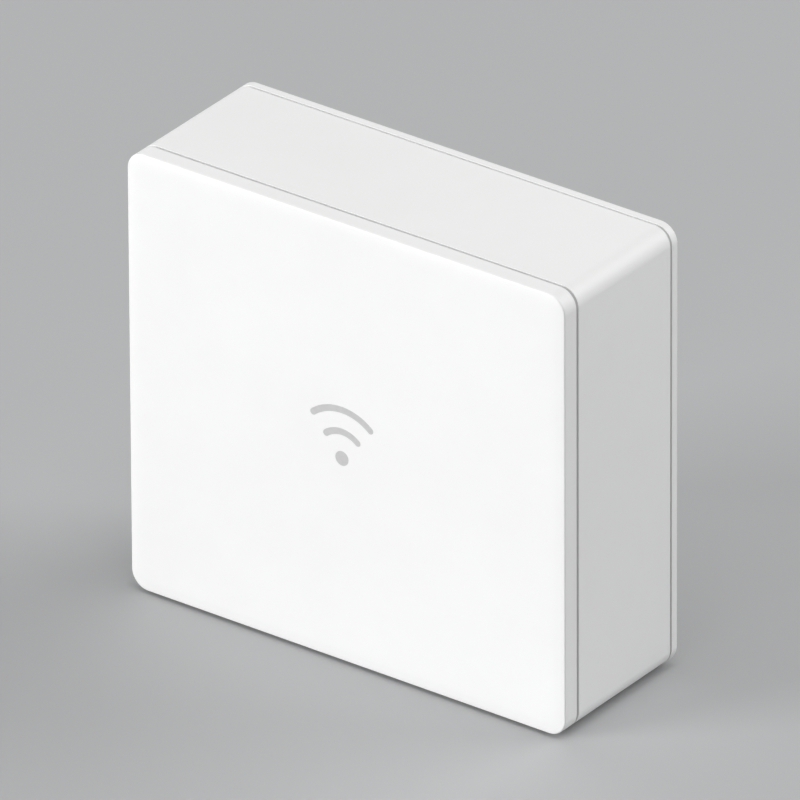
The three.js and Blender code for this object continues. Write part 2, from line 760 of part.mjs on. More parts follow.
// A pressed tin lid over part of the board, with a hole in its lower left corner.
function shieldCan({ x, z, width, height, rise }) {
  const depths = [ON_BOARD_FRONT - rise, ON_BOARD_FRONT];
  const holeX = x - width / 2 + LID_HOLE_INSET;
  const holeZ = z - height / 2 + LID_HOLE_INSET;
  return cut(
    prism(roundedOutline(width, height, LID_RADIUS, x, z), depths),
    block(
      span(x, width - 2 * LID_SHEET),
      [depths[0] + LID_SHEET, depths[1] + PAST],
      span(z, height - 2 * LID_SHEET),
    ),
    rodY(LID_HOLE_RADIUS, [depths[0] - PAST, depths[0] + PAST], holeX, holeZ, SMALL_SIDES),
  );
}

const PROCESSOR = { x: 0, z: 71, width: 24, height: 22, rise: 2.8 };
const THERMAL_PAD = { width: 18, height: 16, thickness: 1.4 };
const SPREADER = { width: 56, height: 24, thickness: 1.2, radius: 1.5 };
const SPREADER_LEG = { x: 26, thickness: 1.2, height: 8 };
const RADIO = { x: 22, z: 34, width: 20, height: 24, rise: 2.4 };

// The processor under its lid, and the pad and plate that spread its heat.
function makeProcessor() {
  const { x, z } = PROCESSOR;
  const padBack = ON_BOARD_FRONT - PROCESSOR.rise - SLIM_GAP;
  const padFront = padBack - THERMAL_PAD.thickness;
  const plateBack = padFront - SLIM_GAP;
  place("processor_shield", shieldCan(PROCESSOR), tinPlate);
  const pad = block(span(x, THERMAL_PAD.width), [padFront, padBack], span(z, THERMAL_PAD.height));
  place("thermal_pad", pad, padGrey);
  const outline = roundedOutline(SPREADER.width, SPREADER.height, SPREADER.radius, x, z);
  const plate = prism(outline, [plateBack - SPREADER.thickness, plateBack]);
  const legDepths = [plateBack - BITE, ON_BOARD_FRONT];
  const legs = Object.values(SIDES).map((sign) =>
    block(span(sign * SPREADER_LEG.x, SPREADER_LEG.thickness), legDepths, span(z, SPREADER_LEG.height)),
  );
  place("heat_spreader", join(plate, ...legs), aluminium);
}

function makeRadio() {
  place("radio_shield", shieldCan(RADIO), tinPlate);
}

function makeStatusLed() {
  const depths = [ON_BOARD_FRONT - LED_SIZE.thickness, ON_BOARD_FRONT];
  const led = block(span(MARK_X, LED_SIZE.width), depths, span(GUIDE_Z, LED_SIZE.height));
  place("status_led", led, creamPlastic);
}

const ANTENNA = { thickness: 0.8, depth: 9, y: 1 };
const ANTENNA_TOP_SPAN = [-24, 14];
const ANTENNA_RIGHT_SPAN = [36, 74];
const COAX = { radius: 0.6, steps: 30 };

// Flat antennas stuck to the walls, each with a thin coaxial cable to the radio.
function makeAntennas() {
  const depths = span(ANTENNA.y, ANTENNA.depth);
  const heights = [TOP_INNER - SLIM_GAP - ANTENNA.thickness, TOP_INNER - SLIM_GAP];
  const across = [RIGHT_INNER - SLIM_GAP - ANTENNA.thickness, RIGHT_INNER - SLIM_GAP];
  place("antenna_top", block(ANTENNA_TOP_SPAN, depths, heights), greenBoard);
  place("antenna_right", block(across, depths, ANTENNA_RIGHT_SPAN), greenBoard);

  // Each route starts beside its antenna, passes the edge of the board and ends beside the radio's lid.
  const along = ON_BOARD_FRONT - 0.9;
  const radioTop = RADIO.z + RADIO.height / 2;
  const radioRight = RADIO.x + RADIO.width / 2;
  const topRoute = [
    [ANTENNA_TOP_SPAN[1] + 2, ANTENNA.y, heights[0] - 0.7],
    [24, 0, heights[0] - 1.4],
    [31, -5, heights[0] - 2],
    [36.5, -8.4, 84],
    [37.5, -8, 74],
    [35, along - 0.6, 60],
    [28, along, radioTop + 2.4],
  ];
  const sideRoute = [
    [across[0] - 0.9, ANTENNA.y, ANTENNA_RIGHT_SPAN[0] + 4],
    [44.4, -2, 36],
    [41.5, -6.5, 33],
    [38, along - 0.8, 32],
    [radioRight + 1.4, along, 31],
  ];
  place("antenna_cable_top", cable(topRoute, COAX.radius, COAX.steps), cableJacket);
  place("antenna_cable_right", cable(sideRoute, COAX.radius, COAX.steps), cableJacket);
}

// The Ethernet socket: a black body in a tin shield, with its gilt contacts.
function makeEthernetSocket() {
  const depths = [ON_BOARD_BACK, SOCKET_FACE];
  const innerWidth = ETHERNET_WIDTH - 2 * ETHERNET_SHIELD_WALL;
  const innerHeight = ETHERNET_HEIGHT - 2 * ETHERNET_SHIELD_WALL;
  const shield = cut(
    block(span(ETHERNET_X, ETHERNET_WIDTH), depths, span(ETHERNET_Z, ETHERNET_HEIGHT)),
    block(
      span(ETHERNET_X, innerWidth),
      [depths[0] - PAST, depths[1] + PAST],
      span(ETHERNET_Z, innerHeight),
    ),
  );
  place("ethernet_shield", shield, tinPlate);

  const mouth = [SOCKET_FACE - SOCKET_DEPTH, SOCKET_FACE + PAST];
  const mouthHeights = span(ETHERNET_Z + SOCKET_MOUTH_RISE, SOCKET_HEIGHT);
  const latchHeights = [mouthHeights[0] - SOCKET_LATCH_HEIGHT, mouthHeights[0] + PAST];
  const body = cut(
    block(
      span(ETHERNET_X, innerWidth - 2 * SLIM_GAP),
      [depths[0], depths[1] - SOCKET_FACE_INSET],
      span(ETHERNET_Z, innerHeight - 2 * SLIM_GAP),
    ),
    block(span(ETHERNET_X, SOCKET_WIDTH), mouth, mouthHeights),
    block(span(ETHERNET_X, SOCKET_LATCH_WIDTH), mouth, latchHeights),
  );
  place("ethernet_socket", body, blackPlastic);

  const ceiling = mouthHeights[1] - SLIM_GAP;
  const root = mouth[0] + 0.2;
  const tip = SOCKET_FACE - CONTACT_TIP_INSET;
  const fingerTop = ceiling - CONTACT_THICKNESS;
  const fingers = [];
  for (let i = 0; i < CONTACT_COUNT; i++) {
    const x = ETHERNET_X + (i - (CONTACT_COUNT - 1) / 2) * CONTACT_PITCH;
    fingers.push(block(span(x, CONTACT_WIDTH), [root, tip], [fingerTop - CONTACT_THICKNESS, fingerTop]));
  }
  const barSize = 1;
  const barAcross = span(ETHERNET_X, SOCKET_WIDTH - barSize);
  const bar = block(barAcross, [root, root + barSize], [ceiling - barSize, ceiling]);
  place("ethernet_contacts", join(bar, ...fingers), goldPlate);
}

function makePowerInlet() {
  const bore = [SOCKET_FACE - POWER_BORE_DEPTH, SOCKET_FACE + PAST];
  const body = cut(
    block(span(POWER_X, POWER_WIDTH), [ON_BOARD_BACK, SOCKET_FACE], span(POWER_Z, POWER_HEIGHT)),
    rodY(POWER_BORE_RADIUS, bore, POWER_X, POWER_Z),
  );
  place("power_inlet", body, blackPlastic);
  const pinSpan = [bore[0] + SLIM_GAP, SOCKET_FACE - POWER_PIN_INSET];
  place("power_inlet_pin", rodY(POWER_PIN_RADIUS, pinSpan, POWER_X, POWER_Z, SMALL_SIDES), goldPlate);
}

const TRANSFORMER = { x: ETHERNET_X, z: 32, width: 16, height: 11, radius: 0.4, rise: 5 };
const INDUCTOR = { x: 19, z: 30, width: 7, height: 7, radius: 1.2, rise: 4 };
const CAPACITOR_BASE = { x: POWER_X, z: 31, width: 8.3, height: 8.3, radius: 0.8, rise: 1 };
const CAPACITOR_CAN = { radius: 4, rise: 6.4 };

// The parts of the power and network circuits that stand up from the back of the board.
function makeTallParts() {
  const standing = ({ x, z, width, height, radius, rise }) =>
    prism(roundedOutline(width, height, radius, x, z), [ON_BOARD_BACK, ON_BOARD_BACK + rise]);
  place("ethernet_transformer", standing(TRANSFORMER), blackPlastic);
  place("power_inductor", standing(INDUCTOR), blackPlastic);
  const canDepths = [ON_BOARD_BACK + BITE, ON_BOARD_BACK + CAPACITOR_CAN.rise];
  const can = rodY(CAPACITOR_CAN.radius, canDepths, CAPACITOR_BASE.x, CAPACITOR_BASE.z);
  place("power_capacitor", join(standing(CAPACITOR_BASE), can), aluminium);
}

function makeResetSwitch() {
  const body = [ON_BOARD_BACK, ON_BOARD_BACK + SWITCH_HEIGHT];
  const across = span(RESET_X, SWITCH_SIZE);
  place("reset_switch", block(across, body, span(RESET_Z, SWITCH_SIZE)), blackPlastic);
  const plunger = [body[1] + RESET_TRAVEL_GAP, BACK_INNER - RESET_PLUNGER_INSET];
  place("reset_plunger", rodY(RESET_PLUNGER_RADIUS, plunger, RESET_X, RESET_Z, SCREW_SIDES), creamPlastic);
}

// The button, its stem, and the switch at the edge of the board that it presses.
function makePairingButton() {
  const boardLeft = -BOARD_WIDTH / 2;
  const switchDepths = span(BUTTON_Y, SWITCH_SIZE);
  const switchHeights = span(BUTTON_Z, SWITCH_SIZE);
  const body = block([boardLeft, boardLeft + SWITCH_HEIGHT], switchDepths, switchHeights);
  place("pairing_switch", body, blackPlastic);
  const plungerSpan = [boardLeft - PLUNGER_REACH, boardLeft - PLUNGER_TRAVEL_GAP];
  const plunger = rodX(PLUNGER_RADIUS, plungerSpan, BUTTON_Y, BUTTON_Z, SCREW_SIDES);
  place("pairing_switch_plunger", plunger, creamPlastic);

  const face = LEFT + BUTTON_FACE_INSET;
  const flangeStart = LEFT_INNER + GAP;
  const flangeEnd = flangeStart + BUTTON_FLANGE_THICKNESS;
  const stemEnd = plungerSpan[0] - SLIM_GAP;
  const button = join(
    rodX(BUTTON_RADIUS, [face, flangeEnd], BUTTON_Y, BUTTON_Z),
    rodX(BUTTON_FLANGE_RADIUS, [flangeStart, flangeEnd], BUTTON_Y, BUTTON_Z),
    rodX(BUTTON_STEM_RADIUS, [flangeEnd - BITE, stemEnd], BUTTON_Y, BUTTON_Z, SCREW_SIDES),
  );
  place("pairing_button", button, whiteShell);
}

// A round speaker against the left wall: a basket with the magnet behind it, and a lead to the board.
function makeSpeaker() {
  const front = LEFT_INNER + GAP;
  const basketBack = front + SPEAKER_BASKET_DEPTH;
  const solid = join(
    rodX(SPEAKER_RADIUS, [front, basketBack], SPEAKER_Y, SPEAKER_Z),
    rodX(SPEAKER_MAGNET_RADIUS, [basketBack - BITE, front + SPEAKER_DEPTH], SPEAKER_Y, SPEAKER_Z),
  );
  place("speaker", solid, blackPlastic);
  const route = [
    [front + 3.6, SPEAKER_Y + 8, SPEAKER_Z],
    [front + 6, SPEAKER_Y + 7, SPEAKER_Z + 1],
    [-39.5, SPEAKER_Y + 3, SPEAKER_Z + 3],
    [-36, SPEAKER_Y, SPEAKER_Z + 5],
    [-33, BOARD_BACK + 1.2, SPEAKER_Z + 7],
  ];
  const leadRadius = 0.8;
  const leadSteps = 20;
  place("speaker_lead", cable(route, leadRadius, leadSteps), cableJacket);
}

const BATTERY_SOCKET = { x: 31, z: 43, width: 7.4, height: 5, rise: 4.6, wall: 0.8, floor: 1 };
const BATTERY_PLUG_OUTSIDE = 2;

// The backup battery in its cradle, with its lead, plug and socket.
function makeBattery() {
  const depths = [BACK_INNER - SLIM_GAP - BATTERY_THICKNESS, BACK_INNER - SLIM_GAP];
  const outline = roundedOutline(BATTERY_WIDTH, BATTERY_HEIGHT, BATTERY_RADIUS, 0, BATTERY_Z);
  place("backup_battery", prism(outline, depths), batteryWrap);

  const { x, z, width, height, rise, wall, floor } = BATTERY_SOCKET;
  const mouthWidth = width - 2 * wall;
  const mouthHeight = height - 2 * wall;
  const mouthFloor = ON_BOARD_BACK + floor;
  const socketBack = ON_BOARD_BACK + rise;
  const socket = cut(
    block(span(x, width), [ON_BOARD_BACK, socketBack], span(z, height)),
    block(span(x, mouthWidth), [mouthFloor, socketBack + PAST], span(z, mouthHeight)),
  );
  place("battery_socket", socket, creamPlastic);
  const plugBack = socketBack + BATTERY_PLUG_OUTSIDE;
  const plug = block(
    span(x, mouthWidth - 2 * GAP),
    [mouthFloor + GAP, plugBack],
    span(z, mouthHeight - 2 * GAP),
  );
  place("battery_plug", plug, creamPlastic);

  const leadZ = BATTERY_Z - BATTERY_LEAD_DROP;
  const route = [
    [BATTERY_WIDTH / 2 + GAP, BACK_INNER - 4, leadZ],
    [BATTERY_WIDTH / 2 + 2.6, BACK_INNER - 4, leadZ - 0.5],
    [x - 0.4, BACK_INNER - 4.4, leadZ - 2],
    [x, BACK_INNER - 6.5, z + 0.4],
    [x, plugBack + GAP, z],
  ];
  const leadRadius = 0.9;
  const leadSteps = 24;
  place("battery_lead", cable(route, leadRadius, leadSteps), cableJacket);
}

function makeScrews() {
  atCorners(CASE_SCREW_X, CASE_SCREW_HEIGHTS, (side, level, x, z) => {
    place(`case_screw_${level}_${side}`, screw(CASE_SCREW, x, CASE_SEAT + SLIM_GAP, z, -1), steel);
  });
  atCorners(BOARD_SCREW_X, BOARD_SCREW_HEIGHTS, (side, level, x, z) => {
    place(`board_screw_${level}_${side}`, screw(BOARD_SCREW, x, BOARD_FRONT - SLIM_GAP, z), steel);
  });
}

makeFrontCover();
makeStatusLightGuide();
makeMainHousing();
makeWallPlate();
makeFeet();
makeRatingLabel();
makeMainBoard();
makeProcessor();
makeRadio();
makeStatusLed();
makeAntennas();
makeEthernetSocket();
makePowerInlet();
makeTallParts();
makeResetSwitch();
makePairingButton();
makeSpeaker();
makeBattery();
makeScrews();

export default hub;
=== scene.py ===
"""The looks of a smart home hub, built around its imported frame. Metres; +Z is up and the front faces -Y."""
import math

import bmesh
import bpy
from mathutils import Matrix, Vector


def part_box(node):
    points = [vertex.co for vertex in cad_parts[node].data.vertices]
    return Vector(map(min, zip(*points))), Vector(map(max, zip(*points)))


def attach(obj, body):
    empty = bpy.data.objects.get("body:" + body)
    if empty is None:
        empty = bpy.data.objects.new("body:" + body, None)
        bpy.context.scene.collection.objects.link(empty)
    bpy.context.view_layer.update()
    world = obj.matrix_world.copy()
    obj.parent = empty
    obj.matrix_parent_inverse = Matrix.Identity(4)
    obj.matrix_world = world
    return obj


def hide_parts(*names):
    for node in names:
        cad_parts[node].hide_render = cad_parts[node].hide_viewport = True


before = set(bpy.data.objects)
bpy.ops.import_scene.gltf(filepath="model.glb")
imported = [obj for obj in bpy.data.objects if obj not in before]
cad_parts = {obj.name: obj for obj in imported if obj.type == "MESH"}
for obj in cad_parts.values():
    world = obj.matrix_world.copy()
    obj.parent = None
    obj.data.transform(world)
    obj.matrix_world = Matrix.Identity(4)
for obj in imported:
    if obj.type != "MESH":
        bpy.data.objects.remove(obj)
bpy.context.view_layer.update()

MM = 0.001

# -------- sizes that the frame's boxes don't give

# the case
CORNER_RADIUS = 3.75 * MM
LEAST_CORNER_RADIUS = 0.8 * MM  # of an outline well inside the case
WALL = 2 * MM
FACE_WALL = 2.2 * MM
BACK_WALL = 2 * MM
COVER_DEPTH = 3.9 * MM
PLATE_DEPTH = 1.87 * MM
FRONT_EDGE = 0.32 * MM  # radius of the edge round the front face
FACE_FALL = 0.16 * MM  # how far the front face falls away towards that edge
FACE_FALL_WIDTH = 2.6 * MM
SEAM_EDGE = 0.06 * MM  # radius of the edges beside the seams
SEAM_RIB_INSET = 1 * MM  # the low rib on the housing's back that closes the rear seam
SEAM_RIB_WIDTH = 1 * MM
SEAM_RIB_HEIGHT = 0.45 * MM
PLATE_EDGE = 0.35 * MM  # radius of the rear edge of the wall plate
FRONT_SEAM_SHADE_REACH = (0.3 * MM, 0.42 * MM)  # how far from a seam's middle the painted shade is full, and where it ends
REAR_SEAM_SHADE_REACH = (0.25 * MM, 0.37 * MM)
CARVED_EDGE = 0.12 * MM  # radius of the edges of the sockets

# the inside of the front cover
TONGUE_INSET = 2.3 * MM
TONGUE_WALL = 1.2 * MM
TONGUE_LEAD_IN = 0.3 * MM
COVER_POST_RADIUS = 3.2 * MM
COVER_POST_REACH = 6.85 * MM  # this and the next count from the inside of the face
COVER_PILOT_START = 1 * MM
COVER_PILOT_RADIUS = 1.3 * MM
COVER_RIB_HEIGHTS = (20 * MM, 72 * MM)
COVER_RIB_RISE = 1.2 * MM
COVER_RIB_THICKNESS = 1 * MM
COVER_RIB_LENGTH = 92 * MM
COLLAR_RADIUS = 0.6 * MM  # inner corners of the walls round the battery and the light guide

# the status mark and its light guide
MARK_STROKE = 1.33 * MM
MARK_DOT_RADIUS = 1.5 * MM
MARK_ARC_RADII = (5.6 * MM, 10.2 * MM)
MARK_HALF_ANGLE = math.radians(40)
MARK_GAP = 0.02 * MM
GUIDE_SIZE = 17 * MM
GUIDE_RADIUS = 0.6 * MM
GUIDE_THICKNESS = 1.4 * MM
GUIDE_GAP = 0.1 * MM  # between the guide and the inside of the face
GUIDE_SPACE = 17.6 * MM
GUIDE_COLLAR_WALL = 1 * MM
GUIDE_PIPE_RADII = (4 * MM, 2.6 * MM, 2.4 * MM)  # at its root, before its end and at its end
GUIDE_PIPE_EDGE = 0.2 * MM

# the inside of the housing
TUBE_RADIUS = 3.4 * MM  # of the tubes that the case screws go down
TUBE_START = 7.15 * MM  # this and the next two count from the inside of the face
SCREW_SEAT = 9.75 * MM
SHANK_HOLE_START = 6 * MM
SHANK_HOLE_RADIUS = 1.4 * MM
HEAD_HOLE_RADIUS = 2.6 * MM
WEB_THICKNESS = 1.4 * MM
BOARD_POST_RADIUS = 2.8 * MM
BOARD_POST_GAP = 0.3 * MM
BOARD_PILOT_RADIUS = 1.2 * MM
BOARD_PILOT_DEPTH = 8 * MM
BATTERY_GAP = 0.3 * MM
BATTERY_COLLAR_WALL = 1.2 * MM
BATTERY_COLLAR_RISE = 5 * MM
BATTERY_LEAD_WAY = (44 * MM, 50 * MM)  # heights of the gap for its lead
BATTERY_LEAD_WAY_DEPTH = 2 * MM
SPEAKER_RING_RADIUS = 10.3 * MM
SPEAKER_RING_WALL = 1.2 * MM
SPEAKER_RING_RISE = 4 * MM

# the holes in the housing and the wall plate
VENT_COUNT = 9
VENT_PITCH = 5 * MM
VENT_WIDTH = 2 * MM
VENT_LENGTH = 8 * MM
VENT_Z = 83 * MM
SPEAKER_HOLE_RADIUS = 0.75 * MM
SPEAKER_HOLE_PITCH = 3.1 * MM
SPEAKER_HOLE_RINGS = 2
SOCKET_HOLE_GAP = 0.25 * MM
SOCKET_HOLE_RADIUS = 0.4 * MM
RESET_HOLE_RADIUS = 1.3 * MM
CLIP_SLOT_INNER = 0.9 * MM  # from the middle of a clip towards the middle of the case
CLIP_SLOT_OUTER = 1.4 * MM
CLIP_SLOT_GAP = 0.3 * MM
FOOT_SEAT_GAP = 0.15 * MM
LABEL_SEAT_GAP = 0.2 * MM
SEAT_HEADROOM = 0.1 * MM
WINDOW_WIDTH = 50 * MM
WINDOW_HEIGHT = 20 * MM
WINDOW_Z = 16.5 * MM
WINDOW_RADIUS = 2.5 * MM
WINDOW_FLARE = 0.3 * MM
WALL_SCREW_X = 30 * MM
WALL_SCREW_Z = 50 * MM
WALL_SCREW_RADIUS = 2.25 * MM
WALL_SCREW_SINK_RADIUS = 4 * MM
WALL_SCREW_LAND = 0.4 * MM
WALL_SCREW_RIM = 0.15 * MM

# the clips of the wall plate
CLIP_X = 37 * MM
CLIP_HEIGHTS = (28 * MM, 72 * MM)
CLIP_WIDTH = 8 * MM
CLIP_THICKNESS = 1.2 * MM
CLIP_BARB = 0.5 * MM
CLIP_BARB_CREST = (1.1 * MM, 1.25 * MM)  # this and the next two count from the tip
CLIP_BARB_ROOT = 1.7 * MM
CLIP_TIP_CUT = 0.3 * MM
CLIP_TIP_INNER_CUT = 0.2 * MM
CLIP_TIP_OUTER_CUT = 0.1 * MM

# the feet
FOOT_RIM = 0.35 * MM
FOOT_HOLLOW = 0.12 * MM
FOOT_HOLLOW_SHARES = (0.45, 0.6)  # of the foot's radius
FOOT_TOP_EDGE = 0.1 * MM

# the pairing button and its dish
BUTTON_RADIUS = 3.4 * MM
BUTTON_EDGE = 0.4 * MM
BUTTON_HOLLOW = 0.3 * MM
BUTTON_HOLLOW_SHARES = (0.12, 0.66)  # of the radius: where it starts and how far it spreads
BUTTON_FLANGE_RADIUS = 4.8 * MM
BUTTON_FLANGE_GAP = 0.3 * MM
BUTTON_FLANGE_THICKNESS = 1 * MM
BUTTON_STEM_RADIUS = 1.6 * MM
BUTTON_STEM_EDGE = 0.3 * MM
BUTTON_HOLE_RADIUS = 3.6 * MM
BUTTON_DISH_RADIUS = 5.4 * MM
BUTTON_DISH_DEPTH = 0.6 * MM
BUTTON_DISH_FLARE = 0.25 * MM
BUTTON_DISH_FLARE_DEPTH = 0.2 * MM
BUTTON_DISH_TAPER = 0.3 * MM

# the Ethernet socket
SOCKET_RADIUS = 0.5 * MM
MOUTH_HALF_WIDTH = 5.95 * MM
MOUTH_BELOW = 2.9 * MM  # from the middle of the socket
MOUTH_ABOVE = 4.1 * MM
MOUTH_DEPTH = 12.8 * MM
MOUTH_LIP = 0.35 * MM
LATCH_HALF_WIDTH = 3.1 * MM
LATCH_DROP = 2.6 * MM
SHIELD_SHEET = 0.3 * MM
SHIELD_RADIUS = 0.7 * MM
SHIELD_INNER_RADIUS = 0.45 * MM
CONTACT_COUNT = 8
CONTACT_PITCH = 1.02 * MM
CONTACT_WIDTH = 0.42 * MM
CONTACT_THICKNESS = 0.25 * MM
CONTACT_EDGE = 0.06 * MM
CONTACT_ROUTE = (  # distances from the deep end of the mouth, and drops from its ceiling
    (0.6 * MM, 0.4 * MM), (2 * MM, 2.4 * MM), (3 * MM, 2.6 * MM), (6.2 * MM, 1.2 * MM), (9.4 * MM, 0.4 * MM),
)
CONTACT_BAR_HALF = 5.4 * MM
CONTACT_BAR_START = 0.2 * MM
CONTACT_BAR_DEPTH = 1 * MM
CONTACT_BAR_DROPS = (1.1 * MM, 0.1 * MM)

# the power inlet
INLET_RADIUS = 0.9 * MM
INLET_BORE_RADIUS = 3.2 * MM
INLET_BORE_DEPTH = 10 * MM
INLET_MOUTH_RADIUS = 3.7 * MM
INLET_MOUTH_DEPTH = 0.5 * MM
PIN_TIP_SHARE = 0.9  # length of the round tip over its radius
PIN_TIP_TURN = 80  # degrees of a quarter circle in the tip

# how shapes are made
BITE = 0.5 * MM  # how far a joined shape reaches into its neighbour
PAST = 1 * MM  # how far a cutting shape reaches past what it cuts
HAIR = 0.01 * MM  # keeps two round corners from meeting
CORNER_STEPS = 16  # steps round each corner of the case
WINDOW_CORNER_STEPS = 10
VENT_CORNER_STEPS = 8
SMALL_CORNER_STEPS = 6
SOCKET_CORNER_STEPS = 4
ROUND_STEPS = 48  # steps round a visible hole or disc
POST_STEPS = 32
PILOT_STEPS = 24
SPEAKER_HOLE_STEPS = 20
FACE_FALL_STEPS = 6
FRONT_EDGE_STEPS = 8
SEAM_EDGE_STEPS = 4
RIM_STEPS = 5  # over the edge of a foot or of the button
BUTTON_HOLLOW_STEPS = 4
PIN_TIP_STEPS = 6
ARC_STEPS = 32
ARC_END_STEPS = 10

CORNERS = ("lower_left", "lower_right", "upper_left", "upper_right")
FEET = ("front_left", "front_right", "rear_left", "rear_right")

# camera, light and floor
CAMERA_AZIMUTH = math.radians(36.449)
CAMERA_ELEVATION = math.radians(28.557)
CAMERA_ROLL = math.radians(-0.28)
CAMERA_DISTANCE = 4.4874
CAMERA_LENS = 1089.9  # millimetres
CAMERA_SIDE_STEP = -0.00046
CAMERA_RISE = 0.0013
LIGHT_AIM = (0, 0, 0.045)
SOFTBOXES = (  # name, place, width and watts
    ("front_softbox", (-3, -4.2, 1.2), 2.2, 212),
    ("top_softbox", (0.6, -0.9, 4.4), 2.4, 58),
    ("rim_softbox", (1.05, 1.3, 1.2), 1.5, 20),
)
HORIZON_TONE = (0.315, 0.318, 0.321)
OVERHEAD_TONE = (0.3, 0.3, 0.3)
TONE_RISE = (0.05, 0.5)  # sines of the heights between which the tone changes
FLOOR_REACH = 12

# sockets of a mixing node that mixes colours
MIX_FIRST = 6
MIX_SECOND = 7
MIX_RESULT = 2

# -------- places from the frame

cover_low, cover_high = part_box("front_cover")
housing_low, housing_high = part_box("main_housing")
plate_low, plate_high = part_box("wall_plate")
guide_low, guide_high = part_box("status_light_guide")
socket_low, socket_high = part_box("ethernet_socket")

CASE_LEFT, CASE_RIGHT = housing_low.x, housing_high.x
CASE_BOTTOM, CASE_TOP = housing_low.z, housing_high.z
CASE_MIDDLE = (CASE_BOTTOM + CASE_TOP) / 2
FRONT = cover_low.y
COVER_BACK = FRONT + COVER_DEPTH
TONGUE_END = cover_high.y
FACE_INNER = FRONT + FACE_WALL
COVER_POST_END = FACE_INNER + COVER_POST_REACH
HOUSING_FRONT, HOUSING_BACK = housing_low.y, housing_high.y
BACK_INNER = HOUSING_BACK - BACK_WALL
SIDE_INNER = CASE_LEFT + WALL
THROUGH_BACK = (BACK_INNER - PAST, HOUSING_BACK + PAST)
BOARD_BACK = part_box("main_board")[1].y
PLATE_BACK = plate_high.y
PLATE_FRONT = PLATE_BACK - PLATE_DEPTH
THROUGH_PLATE = (PLATE_FRONT - PAST, PLATE_BACK + PAST)
CLIP_TIP = plate_low.y
REAR_SEAM_Y = (HOUSING_BACK + PLATE_FRONT) / 2
FRONT_SEAM_Y = (COVER_BACK + HOUSING_FRONT) / 2
MARK_X = (guide_low.x + guide_high.x) / 2
GUIDE_Z = (guide_low.z + guide_high.z) / 2
MARK_Z = GUIDE_Z - MARK_ARC_RADII[1] / 2
SOCKET_X = (socket_low.x + socket_high.x) / 2
SOCKET_Z = (socket_low.z + socket_high.z) / 2
MOUTH_LOW, MOUTH_HIGH = SOCKET_Z - MOUTH_BELOW, SOCKET_Z + MOUTH_ABOVE
MOUTH_END = socket_high.y - MOUTH_DEPTH


def middle(node):
    low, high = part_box(node)
    return (low + high) / 2


# -------- mesh tools

def turns_between(start, end, steps):
    """Angles from start to end, given in degrees and returned in radians, both ends included."""
    return [math.radians(start + (end - start) * i / steps) for i in range(steps + 1)]


def rounded_rectangle(left, right, low, high, radius, steps):
    """Points of an upright rounded rectangle, counterclockwise seen from the front, as (x, z)."""
    centres = (
        (right - radius, low + radius, -90),
        (right - radius, high - radius, 0),
        (left + radius, high - radius, 90),
        (left + radius, low + radius, 180),
    )
    points = []
    for x, z, start in centres:
        for angle in turns_between(start, start + 90, steps):
            points.append((x + radius * math.cos(angle), z + radius * math.sin(angle)))
    return points


def centred_rectangle(x, z, width, height, radius, steps=SMALL_CORNER_STEPS):
    return rounded_rectangle(x - width / 2, x + width / 2, z - height / 2, z + height / 2, radius, steps)


def box_outline(low, high, radius, steps=SMALL_CORNER_STEPS, grow=0.0):
    """A rounded rectangle round a box, seen from the front, grown all round."""
    return rounded_rectangle(low.x - grow, high.x + grow, low.z - grow, high.z + grow, radius, steps)


def case_outline(inset):
    radius = max(CORNER_RADIUS - inset, LEAST_CORNER_RADIUS)
    return box_outline(housing_low, housing_high, radius, CORNER_STEPS, -inset)


def circle(radius, a=0.0, b=0.0, steps=ROUND_STEPS):
    turns = [2 * math.pi * i / steps for i in range(steps)]
    return [(a + radius * math.cos(t), b + radius * math.sin(t)) for t in turns]


def add_rings(bm, rings, hollow=False):
    """Adds a closed skin over rings of points, each ring with the same number of points.

    The first and last ring are capped, or joined to each other when the shape is hollow like a collar.
    """
    made = [[bm.verts.new(point) for point in ring] for ring in rings]
    count = len(made[0])
    following = made[1:] + made[:1] if hollow else made[1:]
    for near, far in zip(made, following):
        for i in range(count):
            j = (i + 1) % count
            bm.faces.new((near[i], near[j], far[j], far[i]))
    if not hollow:
        bm.faces.new(list(reversed(made[0])))
        bm.faces.new(made[-1])


def upright(points, y):
    """Points (x, z) at depth y."""
    return [(x, y, z) for x, z in points]


def add_prism(bm, points, y0, y1):
    add_rings(bm, [upright(points, y0), upright(points, y1)])


def add_block(bm, low, high):
    outline = [(low[0], low[2]), (high[0], low[2]), (high[0], high[2]), (low[0], high[2])]
    add_prism(bm, outline, low[1], high[1])


def add_stepped(bm, first, second, depths, hollow=False):
    """A shape with one outline at its first two depths and another at the last two."""
    outlines = (first, first, second, second)
    add_rings(bm, [upright(points, y) for points, y in zip(outlines, depths)], hollow)


def add_collar(bm, x, z, width, height, wall, y0, y1):
    """An upright rectangular wall round a space of the given width and height."""
    inner = centred_rectangle(x, z, width, height, COLLAR_RADIUS)
    outer = centred_rectangle(x, z, width + 2 * wall, height + 2 * wall, COLLAR_RADIUS + wall)
    add_stepped(bm, outer, inner, (y0, y1, y1, y0), hollow=True)


def add_turned_y(bm, x, z, profile, steps=ROUND_STEPS):
    """A turned shape along Y: profile is (radius, y) from its front end to its back end."""
    add_rings(bm, [upright(circle(radius, x, z, steps), y) for radius, y in profile])


def add_rod(bm, spot, radius, y0, y1, steps=POST_STEPS):
    """A straight round rod along Y."""
    add_turned_y(bm, spot.x, spot.z, [(radius, y0), (radius, y1)], steps)


def add_turned_x(bm, y, z, profile, steps=ROUND_STEPS, hollow=False):
    """A turned shape along X: profile is (radius, x)."""
    add_rings(bm, [[(x, b, c) for b, c in circle(radius, y, z, steps)] for radius, x in profile], hollow)


def add_turned_z(bm, x, y, profile, steps=ROUND_STEPS):
    """A turned shape along Z: profile is (radius, z)."""
    add_rings(bm, [[(a, b, z) for a, b in circle(radius, x, y, steps)] for radius, z in profile])


